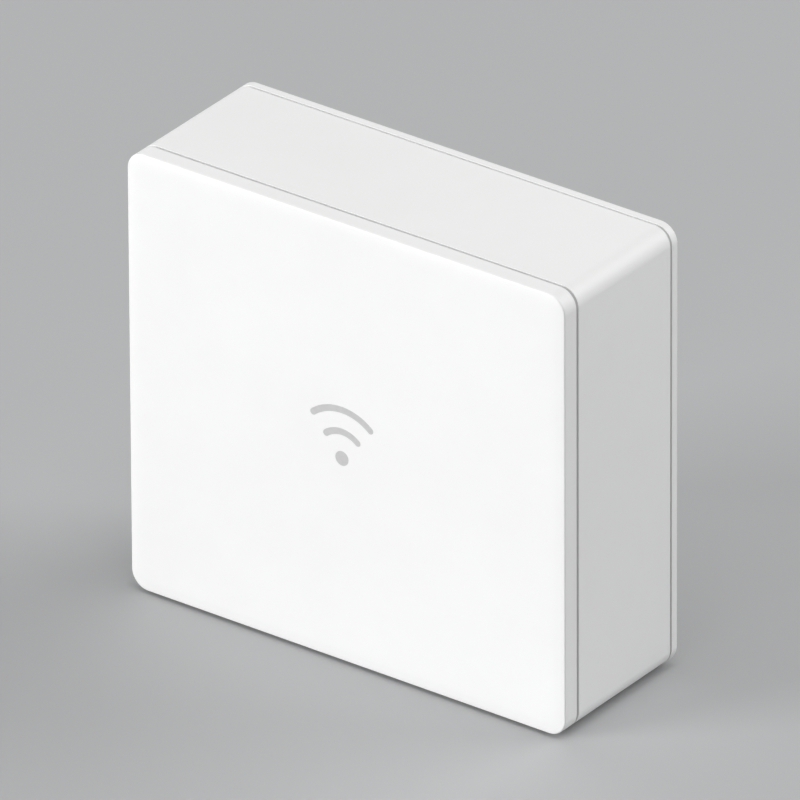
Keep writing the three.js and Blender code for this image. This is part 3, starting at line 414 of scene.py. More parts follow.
def link(thing):
    bpy.context.scene.collection.objects.link(thing)


def finish_mesh(name, bm):
    bmesh.ops.recalc_face_normals(bm, faces=bm.faces)
    mesh = bpy.data.meshes.new(name)
    bm.to_mesh(mesh)
    bm.free()
    piece = bpy.data.objects.new(name, mesh)
    link(piece)
    return piece


def prism_piece(name, outline, y0, y1):
    bm = bmesh.new()
    add_prism(bm, outline, y0, y1)
    return finish_mesh(name, bm)


def apply_modifiers(piece):
    graph = bpy.context.evaluated_depsgraph_get()
    made = bpy.data.meshes.new_from_object(piece.evaluated_get(graph))
    worn = piece.data
    piece.modifiers.clear()
    piece.data = made
    bpy.data.meshes.remove(worn)


def combine(piece, bm, operation):
    """Joins the shapes in bm to the piece, or cuts them out of it. The shapes may overlap each other."""
    tool = finish_mesh(piece.name + "_tool", bm)
    modifier = piece.modifiers.new("combine", "BOOLEAN")
    modifier.operation = operation
    modifier.solver = "EXACT"
    modifier.use_self = True
    modifier.object = tool
    apply_modifiers(piece)
    worn = tool.data
    bpy.data.objects.remove(tool)
    bpy.data.meshes.remove(worn)


def soften(piece, width):
    """Rounds the sharp edges and keeps the flat faces flat."""
    piece.data.shade_smooth()
    bevel = piece.modifiers.new("edge_rounding", "BEVEL")
    bevel.width = width
    bevel.segments = 2
    bevel.limit_method = "ANGLE"
    bevel.angle_limit = math.radians(35)
    bevel.harden_normals = True
    keep_faces_flat(piece)


def keep_faces_flat(piece):
    weighted = piece.modifiers.new("flat_faces", "WEIGHTED_NORMAL")
    weighted.keep_sharp = True


def smooth(piece, angle):
    """Shades the piece smoothly, except at edges that turn by more than the angle, in degrees."""
    piece.data.shade_smooth()
    piece.data.set_sharp_from_angle(angle=math.radians(angle))


def install(piece, body, slot, material, *nodes):
    """Gives a finished piece its material and its body, and hides the CAD nodes that it stands for. The slot
    is not used.
    """
    piece.data.materials.clear()
    piece.data.materials.append(material)
    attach(piece, body)
    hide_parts(*nodes)


# -------- camera, floor and light

def make_camera():
    back = Vector((
        math.sin(CAMERA_AZIMUTH) * math.cos(CAMERA_ELEVATION),
        -math.cos(CAMERA_AZIMUTH) * math.cos(CAMERA_ELEVATION),
        math.sin(CAMERA_ELEVATION),
    ))
    right = Vector((math.cos(CAMERA_AZIMUTH), math.sin(CAMERA_AZIMUTH), 0))
    up = back.cross(right)
    turned_right = math.cos(CAMERA_ROLL) * right + math.sin(CAMERA_ROLL) * up
    turned_up = back.cross(turned_right)
    centre = Vector((0, 0, CASE_MIDDLE))
    place = centre + back * CAMERA_DISTANCE + right * CAMERA_SIDE_STEP + up * CAMERA_RISE
    data = bpy.data.cameras.new("camera")
    data.lens = CAMERA_LENS
    camera = bpy.data.objects.new("camera", data)
    axes = Matrix((turned_right, turned_up, back)).transposed()
    camera.matrix_world = Matrix.Translation(place) @ axes.to_4x4()
    link(camera)
    bpy.context.scene.camera = camera


def add_softbox(name, place, width, watts):
    data = bpy.data.lights.new(name, "AREA")
    data.size = width
    data.energy = watts
    lamp = bpy.data.objects.new(name, data)
    lamp.location = place
    lamp.rotation_euler = (Vector(LIGHT_AIM) - Vector(place)).to_track_quat("-Z", "Y").to_euler()
    link(lamp)


def make_lights():
    for softbox in SOFTBOXES:
        add_softbox(*softbox)
    make_surroundings()
    bpy.context.scene.view_settings.view_transform = "Standard"


def make_surroundings():
    """An even pale room: the tone of the floor at the horizon, a little darker overhead."""
    world = bpy.data.worlds.new("studio")
    world.use_nodes = True
    sky = Shading(world.node_tree, "Generated")
    rise = sky.remap(sky.coordinate("Z"), *TONE_RISE)
    tone = sky.mix(rise, colour(*HORIZON_TONE), colour(*OVERHEAD_TONE))
    sky.join(tone, sky.nodes["Background"], "Color")
    bpy.context.scene.world = world


def make_floor():
    bm = bmesh.new()
    corners = ((-1, -1), (1, -1), (1, 1), (-1, 1))
    bm.faces.new([bm.verts.new((x * FLOOR_REACH, y * FLOOR_REACH, 0)) for x, y in corners])
    floor = finish_mesh("floor", bm)
    floor.data.materials.append(floor_paint())


# -------- materials

def colour(red, green, blue):
    return (red, green, blue, 1)


def scaled(tint, share, lift=0.0):
    """A colour with its parts multiplied and lifted, up to 1."""
    return tuple(min(1, part * share + lift) for part in tint[:3]) + (1,)


class Shading:
    """A node tree, with short ways to add to it. `place` names the texture coordinates that it uses."""

    def __init__(self, tree, place):
        self.nodes = tree.nodes
        self.links = tree.links
        self.place = self.nodes.new("ShaderNodeTexCoord").outputs[place]

    def node(self, kind, **values):
        """A new node, with values for the inputs of those names."""
        made = self.nodes.new("ShaderNode" + kind)
        for name, value in values.items():
            made.inputs[name.replace("_", " ")].default_value = value
        return made

    def join(self, source, node, socket):
        self.links.new(source, node.inputs[socket])

    def feed(self, node, socket, term):
        """Gives an input a value, or joins another node's output to it."""
        if isinstance(term, bpy.types.NodeSocket):
            self.join(term, node, socket)
        else:
            node.inputs[socket].default_value = term

    def noise(self, scale, detail=2.0, roughness=0.5, stretch=(1, 1, 1), distortion=0.0):
        """Noise with about `scale` lumps a metre, from 0 to 1."""
        spread = self.node("VectorMath")
        spread.operation = "MULTIPLY"
        self.join(self.place, spread, 0)
        self.feed(spread, 1, stretch)
        noise = self.node("TexNoise", Scale=scale, Detail=detail, Roughness=roughness, Distortion=distortion)
        self.join(spread.outputs[0], noise, "Vector")
        return noise.outputs["Fac"]

    def remap(self, value, low, high, to_low=0.0, to_high=1.0):
        """The value with the span from low to high laid over the span from to_low to to_high."""
        node = self.node("MapRange", From_Min=low, From_Max=high, To_Min=to_low, To_Max=to_high)
        self.join(value, node, "Value")
        return node.outputs["Result"]

    def math(self, operation, a, b=0.0):
        node = self.node("Math")
        node.operation = operation
        self.feed(node, 0, a)
        self.feed(node, 1, b)
        return node.outputs[0]

    def mix(self, share, first, second):
        """A colour between two, by share."""
        node = self.node("Mix")
        node.data_type = "RGBA"
        self.join(share, node, "Factor")
        self.feed(node, MIX_FIRST, first)
        self.feed(node, MIX_SECOND, second)
        return node.outputs[MIX_RESULT]

    def coordinate(self, axis):
        node = self.node("SeparateXYZ")
        self.join(self.place, node, 0)
        return node.outputs[axis]

    def near(self, value, centre, full, reach):
        """1 where value is within full of centre, falling to 0 at reach from it."""
        away = self.math("ABSOLUTE", self.math("SUBTRACT", value, centre))
        return self.remap(away, full, reach, 1, 0)


class Paint(Shading):
    """The shading of a material, which feeds its one shader."""

    def __init__(self, name):
        self.material = bpy.data.materials.new(name)
        self.material.use_nodes = True
        super().__init__(self.material.node_tree, "Object")
        self.shader = self.nodes["Principled BSDF"]

    def base_colour(self, share, first, second):
        self.join(self.mix(share, first, second), self.shader, "Base Color")

    def roughness(self, value):
        self.join(value, self.shader, "Roughness")

    def bump(self, *layers):
        """Bumps from (height, depth in metres) pairs, one over the other."""
        last = None
        for height, depth in layers:
            node = self.node("Bump", Distance=depth)
            self.join(height, node, "Height")
            if last is not None:
                self.join(last, node, "Normal")
            last = node.outputs["Normal"]
        self.join(last, self.shader, "Normal")

    def edges(self, radius):
        """About 1 on sharp edges and 0 on flat faces."""
        bevel = self.node("Bevel", Radius=radius)
        bevel.samples = 4
        geometry = self.node("NewGeometry")
        cosine = self.node("VectorMath")
        cosine.operation = "DOT_PRODUCT"
        self.join(bevel.outputs["Normal"], cosine, 0)
        self.join(geometry.outputs["Normal"], cosine, 1)
        return self.remap(cosine.outputs["Value"], 0.995, 0.85)


def seam_painted_shade(paint):
    """How much painted shade darkens the plastic, from 0 to 1: only in the two seams, and unevenly."""
    depth = paint.coordinate("Y")
    in_front_seam = paint.near(depth, FRONT_SEAM_Y, *FRONT_SEAM_SHADE_REACH)
    in_rear_seam = paint.near(depth, REAR_SEAM_Y, *REAR_SEAM_SHADE_REACH)
    in_seam = paint.math("MAXIMUM", in_front_seam, in_rear_seam)
    # painted shade: its strength changes unevenly along the seams
    dust_and_shade = paint.remap(paint.noise(700, 3, 0.6), 0.35, 0.7, 0.75, 0.9)
    return paint.math("MULTIPLY", in_seam, dust_and_shade)


def shell_plastic(name):
    """White moulded plastic: a fine grain, soft sheen changes, and painted shade in the seams, paler on the
    top of the case.
    """
    paint = Paint(name)
    broad = paint.noise(30, 4, 0.6)
    smudge = paint.noise(85, 5, 0.62, distortion=0.8)
    unshaded = paint.mix(paint.remap(broad, 0.3, 0.7), colour(0.905, 0.905, 0.9), colour(0.93, 0.93, 0.928))
    # painted shade: the seams are darkened, less on the top of the case, where they are lit
    shade = seam_painted_shade(paint)
    lit_top_share = paint.remap(paint.coordinate("Z"), CASE_TOP - CORNER_RADIUS, CASE_TOP - MM)
    seam_shade_colour = paint.mix(lit_top_share, colour(0.76, 0.76, 0.755), colour(0.92, 0.92, 0.915))
    paint.base_colour(shade, unshaded, seam_shade_colour)

    sheen = paint.remap(smudge, 0.3, 0.75, 0.4, 0.52)
    polish = paint.math("MULTIPLY", paint.edges(0.35 * MM), 0.14)
    paint.roughness(paint.math("SUBTRACT", sheen, polish))
    grain = paint.noise(4300, 2.5, 0.55)
    waviness = paint.noise(120)
    scratches = paint.remap(paint.noise(900, 3, 0.7, stretch=(1, 0.06, 1), distortion=0.4), 0.68, 0.8)
    paint.bump((waviness, 0.012 * MM), (grain, 0.008 * MM), (scratches, -0.0015 * MM))
    paint.feed(paint.shader, "IOR", 1.5)
    return paint.material


def mark_plastic():
    """Smooth grey, faintly clouded."""
    paint = Paint("mark_grey")
    cloud = paint.remap(paint.noise(900, 3, 0.6), 0.3, 0.7)
    paint.base_colour(cloud, colour(0.555, 0.55, 0.555), colour(0.6, 0.595, 0.6))
    paint.roughness(paint.remap(paint.noise(400, 4), 0.3, 0.7, 0.3, 0.42))
    paint.bump((paint.noise(2500), 0.003 * MM))
    paint.feed(paint.shader, "IOR", 1.49)
    return paint.material


def filled_plastic(name, tint, roughness=0.42):
    """Glass-filled moulded plastic: fine pits and pale scuffs on the edges."""
    paint = Paint(name)
    patch = paint.remap(paint.noise(260, 4, 0.6), 0.35, 0.7)
    worn = paint.math("MULTIPLY", paint.edges(0.2 * MM), 0.5)
    share = paint.math("MAXIMUM", paint.math("MULTIPLY", patch, 0.35), worn)
    paint.base_colour(share, tint, scaled(tint, 1.6, 0.03))
    paint.roughness(paint.remap(patch, 0, 1, roughness - 0.06, roughness + 0.1))
    paint.bump((paint.noise(3600, 3, 0.6), 0.01 * MM), (paint.noise(500), 0.008 * MM))
    return paint.material


def sheet_metal(name, tint, stretch, roughness=0.3):
    """Rolled or plated metal: fine lines along the sheet, a few dull patches."""
    paint = Paint(name)
    lines = paint.noise(5200, 3, 0.65, stretch=stretch)
    patch = paint.remap(paint.noise(240, 4, 0.6, distortion=0.5), 0.35, 0.7)
    paint.base_colour(patch, tint, scaled(tint, 0.82))
    brushed = paint.remap(lines, 0.3, 0.7, roughness - 0.08, roughness + 0.08)
    paint.roughness(paint.math("ADD", brushed, paint.math("MULTIPLY", patch, 0.1)))
    paint.bump((lines, 0.003 * MM))
    paint.feed(paint.shader, "Metallic", 1)
    return paint.material


def rubber(name, tint):
    """Matt moulded rubber with fine pores and pale dusty patches."""
    paint = Paint(name)
    dust_and_shade = paint.remap(paint.noise(500, 4, 0.65), 0.45, 0.8)
    paint.base_colour(dust_and_shade, tint, scaled(tint, 0.8, 0.12))
    paint.roughness(paint.remap(dust_and_shade, 0, 1, 0.75, 0.92))
    paint.bump((paint.noise(3000, 3), 0.02 * MM))
    return paint.material


def board_tracks(paint):
    """1 on the board's copper tracks and 0 between them. The tracks are the joints of a brick pattern."""
    bricks = paint.node("TexBrick", Scale=420, Mortar_Size=0.035, Brick_Width=0.9, Row_Height=0.35)
    flat = paint.node("CombineXYZ")
    paint.join(paint.coordinate("X"), flat, "X")
    paint.join(paint.coordinate("Z"), flat, "Y")
    paint.join(flat.outputs[0], bricks, "Vector")
    return paint.remap(bricks.outputs["Fac"], 0, 1)


def board_laminate():
    """Green solder mask: raised copper tracks under it, pale plated dots, and the weave of the glass."""
    paint = Paint("board_green")
    copper = board_tracks(paint)
    weave = paint.noise(2200, stretch=(1, 1, 0.25))
    mask = paint.mix(copper, colour(0.018, 0.16, 0.075), colour(0.04, 0.27, 0.12))
    dots = paint.node("TexVoronoi", Scale=380)
    paint.join(paint.place, dots, "Vector")
    plated = paint.remap(dots.outputs["Distance"], 0.11, 0.09)
    paint.base_colour(plated, mask, colour(0.75, 0.74, 0.68))
    paint.roughness(paint.remap(weave, 0.3, 0.7, 0.28, 0.42))
    paint.bump((copper, 0.03 * MM), (weave, 0.01 * MM))
    return paint.material


def wrap_film(name, tint, light, roughness=0.3):
    """Printed film: faint wrinkles, a paler tone on their crests, and soft gloss."""
    paint = Paint(name)
    wrinkles = paint.noise(160, 4, 0.6, stretch=(1, 1, 3), distortion=1.2)
    paint.base_colour(paint.remap(wrinkles, 0.3, 0.7, 0, 0.5), tint, light)
    paint.roughness(paint.remap(wrinkles, 0.3, 0.7, roughness, roughness + 0.15))
    paint.bump((wrinkles, 0.08 * MM), (paint.noise(2600), 0.003 * MM))
    return paint.material


def floor_paint():
    """A plain pale studio floor, very slightly uneven."""
    paint = Paint("floor")
    uneven = paint.remap(paint.noise(3, 3), 0.3, 0.7)
    paint.base_colour(uneven, colour(0.46, 0.465, 0.47), colour(0.475, 0.48, 0.485))
    paint.roughness(paint.remap(uneven, 0, 1, 0.6, 0.7))
    return paint.material


# -------- the case

def case_piece(name, profile):
    """A piece of the case: its outline swept through (inset, depth) points, and closed at both ends."""
    bm = bmesh.new()
    add_rings(bm, [upright(case_outline(inset), y) for inset, y in profile])
    return finish_mesh(name, bm)


def fore_edge(y, radius, steps=SEAM_EDGE_STEPS):
    """Over an edge between a side and a face that looks forward, from the face outwards."""
    turns = turns_between(0, 90, steps)
    return [(radius * (1 - math.sin(a)), y + radius * (1 - math.cos(a))) for a in turns]


def rear_edge(y, radius):
    """Over an edge between a side and a face that looks back, from the side inwards."""
    turns = turns_between(0, 90, SEAM_EDGE_STEPS)
    return [(radius * (1 - math.cos(a)), y - radius * (1 - math.sin(a))) for a in turns]


def front_edge_profile():
    """From the flat of the front face, over its soft fall and tight edge, to the side."""
    flat = FACE_FALL_WIDTH + FRONT_EDGE
    points = []
    for i in range(FACE_FALL_STEPS + 1):
        share = i / FACE_FALL_STEPS
        points.append((flat - FACE_FALL_WIDTH * share, FRONT + FACE_FALL * share ** 2))
    return points + fore_edge(FRONT + FACE_FALL, FRONT_EDGE, FRONT_EDGE_STEPS)[1:]


def mark_point(radius, angle):
    return (MARK_X + radius * math.cos(angle), MARK_Z + radius * math.sin(angle))


def mark_arc(radius, margin):
    """The outline of one arc of the status mark, with round ends, grown by a margin."""
    half = MARK_STROKE / 2 + margin
    right = math.pi / 2 - MARK_HALF_ANGLE
    left = math.pi / 2 + MARK_HALF_ANGLE
    turns = [right + (left - right) * i / ARC_STEPS for i in range(ARC_STEPS + 1)]
    points = [mark_point(radius + half, turn) for turn in turns]
    points += mark_arc_end(radius, left, half, left)
    points += [mark_point(radius - half, turn) for turn in reversed(turns)]
    points += mark_arc_end(radius, right, half, right + math.pi)
    return points


def mark_arc_end(radius, at, half, start):
    """The points round one end of an arc, without the two that the arc itself gives."""
    x, z = mark_point(radius, at)
    turns = [start + math.pi * i / ARC_END_STEPS for i in range(1, ARC_END_STEPS)]
    return [(x + half * math.cos(t), z + half * math.sin(t)) for t in turns]


def add_mark(bm, margin, y0, y1):
    """The status mark: a dot with arcs over it."""
    add_prism(bm, circle(MARK_DOT_RADIUS + margin, MARK_X, MARK_Z), y0, y1)
    for radius in MARK_ARC_RADII:
        add_prism(bm, mark_arc(radius, margin), y0, y1)


def add_cover_insides(bm):
    """The posts that the case screws turn into, the wall round the light guide, and the stiffening ribs."""
    root = FACE_INNER - BITE
    for corner in CORNERS:
        add_rod(bm, middle("case_screw_" + corner), COVER_POST_RADIUS, root, COVER_POST_END)
    top = FACE_INNER + COVER_RIB_RISE
    add_collar(bm, MARK_X, GUIDE_Z, GUIDE_SPACE, GUIDE_SPACE, GUIDE_COLLAR_WALL, root, top)
    half_length = COVER_RIB_LENGTH / 2
    half = COVER_RIB_THICKNESS / 2
    for z in COVER_RIB_HEIGHTS:
        add_block(bm, (-half_length, root, z - half), (half_length, top, z + half))


def add_cover_holes(bm):
    """The slots that the status mark fills, and the pilot holes for the case screws."""
    add_mark(bm, MARK_GAP, FRONT - PAST, FACE_INNER + PAST)
    ends = (FACE_INNER + COVER_PILOT_START, COVER_POST_END + PAST)
    for corner in CORNERS:
        add_rod(bm, middle("case_screw_" + corner), COVER_PILOT_RADIUS, *ends, PILOT_STEPS)


def make_front_cover(white):
    """The tray in front: its face and rim, and the tongue that slips into the housing."""
    inner = TONGUE_INSET + TONGUE_WALL
    profile = front_edge_profile() + rear_edge(COVER_BACK, SEAM_EDGE) + [
        (TONGUE_INSET, COVER_BACK),
        (TONGUE_INSET, TONGUE_END - TONGUE_LEAD_IN),
        (TONGUE_INSET + TONGUE_LEAD_IN, TONGUE_END),
        (inner, TONGUE_END),
        (inner, FACE_INNER),
    ]
    cover = case_piece("front_cover_shell", profile)
    insides = bmesh.new()
    add_cover_insides(insides)
    combine(cover, insides, "UNION")
    holes = bmesh.new()
    add_cover_holes(holes)
    combine(cover, holes, "DIFFERENCE")
    smooth(cover, angle=25)
    keep_faces_flat(cover)
    install(cover, "hub_body", "shell_white", white, "front_cover")


def make_status_mark(grey):
    """The light guide: its strokes fill the slots of the front face, and a pipe leads back to the light."""
    base_front = FACE_INNER + GUIDE_GAP
    base_back = base_front + GUIDE_THICKNESS
    outline = centred_rectangle(MARK_X, GUIDE_Z, GUIDE_SIZE, GUIDE_SIZE, GUIDE_RADIUS)
    guide = prism_piece("status_mark", outline, base_front, base_back)
    strokes = bmesh.new()
    add_mark(strokes, 0, FRONT, base_front + BITE)
    combine(guide, strokes, "UNION")
    pipe = bmesh.new()
    pipe_end = guide_high.y
    depths = (base_back - BITE, pipe_end - GUIDE_PIPE_EDGE, pipe_end)
    add_turned_y(pipe, MARK_X, GUIDE_Z, zip(GUIDE_PIPE_RADII, depths), POST_STEPS)
    combine(guide, pipe, "UNION")
    smooth(guide, angle=30)
    install(guide, "hub_body", "mark_grey", grey, "status_light_guide")


def add_vents(bm, y0, y1):
    """The row of air slots, which the housing and the wall plate share."""
    first = -(VENT_COUNT - 1) / 2
    radius = VENT_WIDTH / 2 - HAIR
    for i in range(VENT_COUNT):
        x = (first + i) * VENT_PITCH
        outline = centred_rectangle(x, VENT_Z, VENT_WIDTH, VENT_LENGTH, radius, VENT_CORNER_STEPS)
        add_prism(bm, outline, y0, y1)


def add_screw_tubes(bm):
    """The tubes round the case screws, each with a web to the side wall, and the posts behind the board."""
    front = FACE_INNER + TUBE_START
    root = BACK_INNER + BITE
    half = WEB_THICKNESS / 2
    for corner in CORNERS:
        tube = middle("case_screw_" + corner)
        add_rod(bm, tube, TUBE_RADIUS, front, root)
        left, right = sorted((tube.x, math.copysign(CASE_RIGHT - WALL + BITE, tube.x)))
        add_block(bm, (left, front, tube.z - half), (right, root, tube.z + half))
        post = middle("board_screw_" + corner)
        add_rod(bm, post, BOARD_POST_RADIUS, BOARD_BACK + BOARD_POST_GAP, root)


def add_battery_collar(bm):
    low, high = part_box("backup_battery")
    spot = middle("backup_battery")
    width = high.x - low.x + 2 * BATTERY_GAP
    height = high.z - low.z + 2 * BATTERY_GAP
    depths = (BACK_INNER - BATTERY_COLLAR_RISE, BACK_INNER + BITE)
    add_collar(bm, spot.x, spot.z, width, height, BATTERY_COLLAR_WALL, *depths)


def add_speaker_ring(bm):
    """The round wall that the speaker sits in, on the inside of the left wall."""
    spot = middle("speaker")
    outer = SPEAKER_RING_RADIUS + SPEAKER_RING_WALL
    root = SIDE_INNER - BITE
    top = SIDE_INNER + SPEAKER_RING_RISE
    profile = [(SPEAKER_RING_RADIUS, root), (SPEAKER_RING_RADIUS, top), (outer, top), (outer, root)]
    add_turned_x(bm, spot.y, spot.z, profile, hollow=True)


def add_socket_hole(bm, node):
    outline = box_outline(*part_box(node), SOCKET_HOLE_RADIUS, SOCKET_CORNER_STEPS, SOCKET_HOLE_GAP)
    add_prism(bm, outline, *THROUGH_BACK)


def add_button_hole(bm):
    """The dish round the pairing button, and the hole that the button moves in."""
    spot = middle("pairing_button")
    wide = BUTTON_DISH_RADIUS + BUTTON_DISH_FLARE
    floor = CASE_LEFT + BUTTON_DISH_DEPTH
    add_turned_x(bm, spot.y, spot.z, [
        (wide, CASE_LEFT - PAST),
        (wide, CASE_LEFT),
        (BUTTON_DISH_RADIUS, CASE_LEFT + BUTTON_DISH_FLARE_DEPTH),
        (BUTTON_DISH_RADIUS - BUTTON_DISH_TAPER, floor),
        (BUTTON_HOLE_RADIUS, floor),
        (BUTTON_HOLE_RADIUS, SIDE_INNER + PAST),
    ])


def add_speaker_holes(bm):
    """A hole in the middle and rings of holes round it, each ring with six more than the last."""
    spot = middle("speaker")
    profile = [(SPEAKER_HOLE_RADIUS, CASE_LEFT - PAST), (SPEAKER_HOLE_RADIUS, SIDE_INNER + PAST)]
    add_turned_x(bm, spot.y, spot.z, profile, SPEAKER_HOLE_STEPS)
    for ring in range(1, SPEAKER_HOLE_RINGS + 1):
        for y, z in circle(ring * SPEAKER_HOLE_PITCH, spot.y, spot.z, 6 * ring):
            add_turned_x(bm, y, z, profile, SPEAKER_HOLE_STEPS)


def add_clip_slots(bm):
    half = CLIP_WIDTH / 2 + CLIP_SLOT_GAP
    for sign in (-1, 1):
        left, right = sorted((sign * (CLIP_X - CLIP_SLOT_INNER), sign * (CLIP_X + CLIP_SLOT_OUTER)))
        for z in CLIP_HEIGHTS:
            add_block(bm, (left, THROUGH_BACK[0], z - half), (right, THROUGH_BACK[1], z + half))


def add_battery_lead_way(bm):
    """The gap in the battery's wall, which its lead comes out through."""
    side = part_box("backup_battery")[1].x
    low = (side, BACK_INNER - BATTERY_COLLAR_RISE - PAST, BATTERY_LEAD_WAY[0])
    high = (side + BATTERY_LEAD_WAY_DEPTH, BACK_INNER, BATTERY_LEAD_WAY[1])
    add_block(bm, low, high)


def add_base_seats(bm):
    """The shallow seats in the underside that the feet and the label are stuck into."""
    for foot in FEET:
        low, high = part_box("foot_" + foot)
        seat = (high.x - low.x) / 2 + FOOT_SEAT_GAP
        depths = (CASE_BOTTOM - PAST, high.z + SEAT_HEADROOM)
        add_turned_z(bm, (low.x + high.x) / 2, (low.y + high.y) / 2, [(seat, z) for z in depths])
    low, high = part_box("rating_label")
    gap = LABEL_SEAT_GAP
    seat_low = (low.x - gap, low.y - gap, CASE_BOTTOM - PAST)
    add_block(bm, seat_low, (high.x + gap, high.y + gap, high.z + SEAT_HEADROOM))


def add_screw_bores(bm):
    """Down each tube a hole for the screw's shank and a wider one for its head; in each post a pilot hole."""
    seat = FACE_INNER + SCREW_SEAT
    for corner in CORNERS:
        tube = middle("case_screw_" + corner)
        add_turned_y(bm, tube.x, tube.z, [
            (SHANK_HOLE_RADIUS, FACE_INNER + SHANK_HOLE_START),
            (SHANK_HOLE_RADIUS, seat),
            (HEAD_HOLE_RADIUS, seat),
            (HEAD_HOLE_RADIUS, THROUGH_BACK[1]),
        ], POST_STEPS)
        post = middle("board_screw_" + corner)
        add_rod(bm, post, BOARD_PILOT_RADIUS, BOARD_BACK, BOARD_BACK + BOARD_PILOT_DEPTH, PILOT_STEPS)


def housing_profile():
    """From the inside of the back, round the open front edge, to the low rib on the back's outside."""
    rib_inner = SEAM_RIB_INSET + SEAM_RIB_WIDTH
    rib_top = HOUSING_BACK + SEAM_RIB_HEIGHT
    profile = [(WALL, BACK_INNER), (WALL, HOUSING_FRONT)]
    profile += fore_edge(HOUSING_FRONT, SEAM_EDGE)
    profile += rear_edge(HOUSING_BACK, SEAM_EDGE)
    profile += [(SEAM_RIB_INSET, HOUSING_BACK), (SEAM_RIB_INSET, rib_top)]
    profile += [(rib_inner, rib_top), (rib_inner, HOUSING_BACK)]
    return profile


def make_main_housing(white):
    """The open box in the middle, with all that stands in it and all that is cut through it."""
    housing = case_piece("main_housing_shell", housing_profile())
    insides = bmesh.new()
    add_screw_tubes(insides)
    add_battery_collar(insides)
    add_speaker_ring(insides)
    combine(housing, insides, "UNION")

    holes = bmesh.new()
    add_socket_hole(holes, "ethernet_shield")
    add_socket_hole(holes, "power_inlet")
    add_rod(holes, middle("reset_plunger"), RESET_HOLE_RADIUS, *THROUGH_BACK)
    add_button_hole(holes)
    add_speaker_holes(holes)
    add_vents(holes, *THROUGH_BACK)
    add_clip_slots(holes)
    add_battery_lead_way(holes)
    add_base_seats(holes)
    add_screw_bores(holes)
    combine(housing, holes, "DIFFERENCE")
    smooth(housing, angle=28)
    keep_faces_flat(housing)
    install(housing, "hub_body", "shell_white", white, "main_housing")


def add_clip(bm, sign, z):
    """One snap clip: a finger that narrows to its tip, with a barb that points away from the middle."""
    inner = sign * (CLIP_X - CLIP_THICKNESS / 2)
    outer = sign * (CLIP_X + CLIP_THICKNESS / 2)
    barb = outer + sign * CLIP_BARB
    outline = [
        (inner, PLATE_FRONT + BITE),
        (inner, CLIP_TIP + CLIP_TIP_CUT),
        (inner + sign * CLIP_TIP_INNER_CUT, CLIP_TIP),
        (outer - sign * CLIP_TIP_OUTER_CUT, CLIP_TIP),
        (barb, CLIP_TIP + CLIP_BARB_CREST[0]),
        (barb, CLIP_TIP + CLIP_BARB_CREST[1]),
        (outer, CLIP_TIP + CLIP_BARB_ROOT),
        (outer, PLATE_FRONT + BITE),
    ]
    half = CLIP_WIDTH / 2
    add_rings(bm, [[(x, y, z + side * half) for x, y in outline] for side in (-1, 1)])


def window_outline(grow):
    width = WINDOW_WIDTH + 2 * grow
    height = WINDOW_HEIGHT + 2 * grow
    return centred_rectangle(0, WINDOW_Z, width, height, WINDOW_RADIUS + grow, WINDOW_CORNER_STEPS)


def add_window(bm):
    """The opening that the plugs go through, flared at the back of the plate."""
    depths = (THROUGH_PLATE[0], PLATE_BACK - WINDOW_FLARE, PLATE_BACK, THROUGH_PLATE[1])
    add_stepped(bm, window_outline(0), window_outline(WINDOW_FLARE), depths)


def add_wall_screw_holes(bm):
    """Countersunk from the front, with a softened edge at the back."""
    wide = WALL_SCREW_RADIUS + WALL_SCREW_RIM
    for sign in (-1, 1):
        add_turned_y(bm, sign * WALL_SCREW_X, WALL_SCREW_Z, [
            (WALL_SCREW_SINK_RADIUS, THROUGH_PLATE[0]),
            (WALL_SCREW_SINK_RADIUS, PLATE_FRONT),
            (WALL_SCREW_RADIUS, PLATE_BACK - WALL_SCREW_LAND),
            (WALL_SCREW_RADIUS, PLATE_BACK - WALL_SCREW_RIM),
            (wide, PLATE_BACK),
            (wide, THROUGH_PLATE[1]),
        ])


def make_wall_plate(white):
    profile = fore_edge(PLATE_FRONT, SEAM_EDGE) + rear_edge(PLATE_BACK, PLATE_EDGE)
    plate = case_piece("wall_plate_shell", profile)
    clips = bmesh.new()
    for sign in (-1, 1):
        for z in CLIP_HEIGHTS:
            add_clip(clips, sign, z)
    combine(plate, clips, "UNION")
    holes = bmesh.new()
    add_window(holes)
    add_wall_screw_holes(holes)
    add_vents(holes, *THROUGH_PLATE)
    combine(plate, holes, "DIFFERENCE")
    smooth(plate, angle=25)
    keep_faces_flat(plate)
    install(plate, "wall_plate_body", "shell_white", white, "wall_plate")


def turned_edge(radius, start, edge):
    """Over the rounded edge of a turned shape, from its face at start to its side."""
    return [(radius - inset, place) for inset, place in fore_edge(start, edge, RIM_STEPS)]


def make_feet(grey):
    """Flat rubber discs, each a little hollow underneath."""
    for name in FEET:
        low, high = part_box("foot_" + name)
        radius = (high.x - low.x) / 2
        hollow, ring = (radius * share for share in FOOT_HOLLOW_SHARES)
        profile = [(hollow, low.z + FOOT_HOLLOW), (ring, low.z)]
        profile += turned_edge(radius, low.z, FOOT_RIM)
        profile += [(radius, high.z - FOOT_TOP_EDGE), (radius - FOOT_TOP_EDGE, high.z)]
        bm = bmesh.new()
        add_turned_z(bm, (low.x + high.x) / 2, (low.y + high.y) / 2, profile)
        foot = finish_mesh("rubber_foot_" + name, bm)
        smooth(foot, angle=40)
        install(foot, "hub_body", "foot_rubber", grey, "foot_" + name)


def button_face(face):
    """The shallow dish in the button's face, from its middle outwards."""
    start, spread = BUTTON_HOLLOW_SHARES
    points = []
    for i in range(BUTTON_HOLLOW_STEPS + 1):
        share = i / BUTTON_HOLLOW_STEPS
        points.append((BUTTON_RADIUS * (start + spread * share), face + BUTTON_HOLLOW * (1 - share ** 2)))
    return points


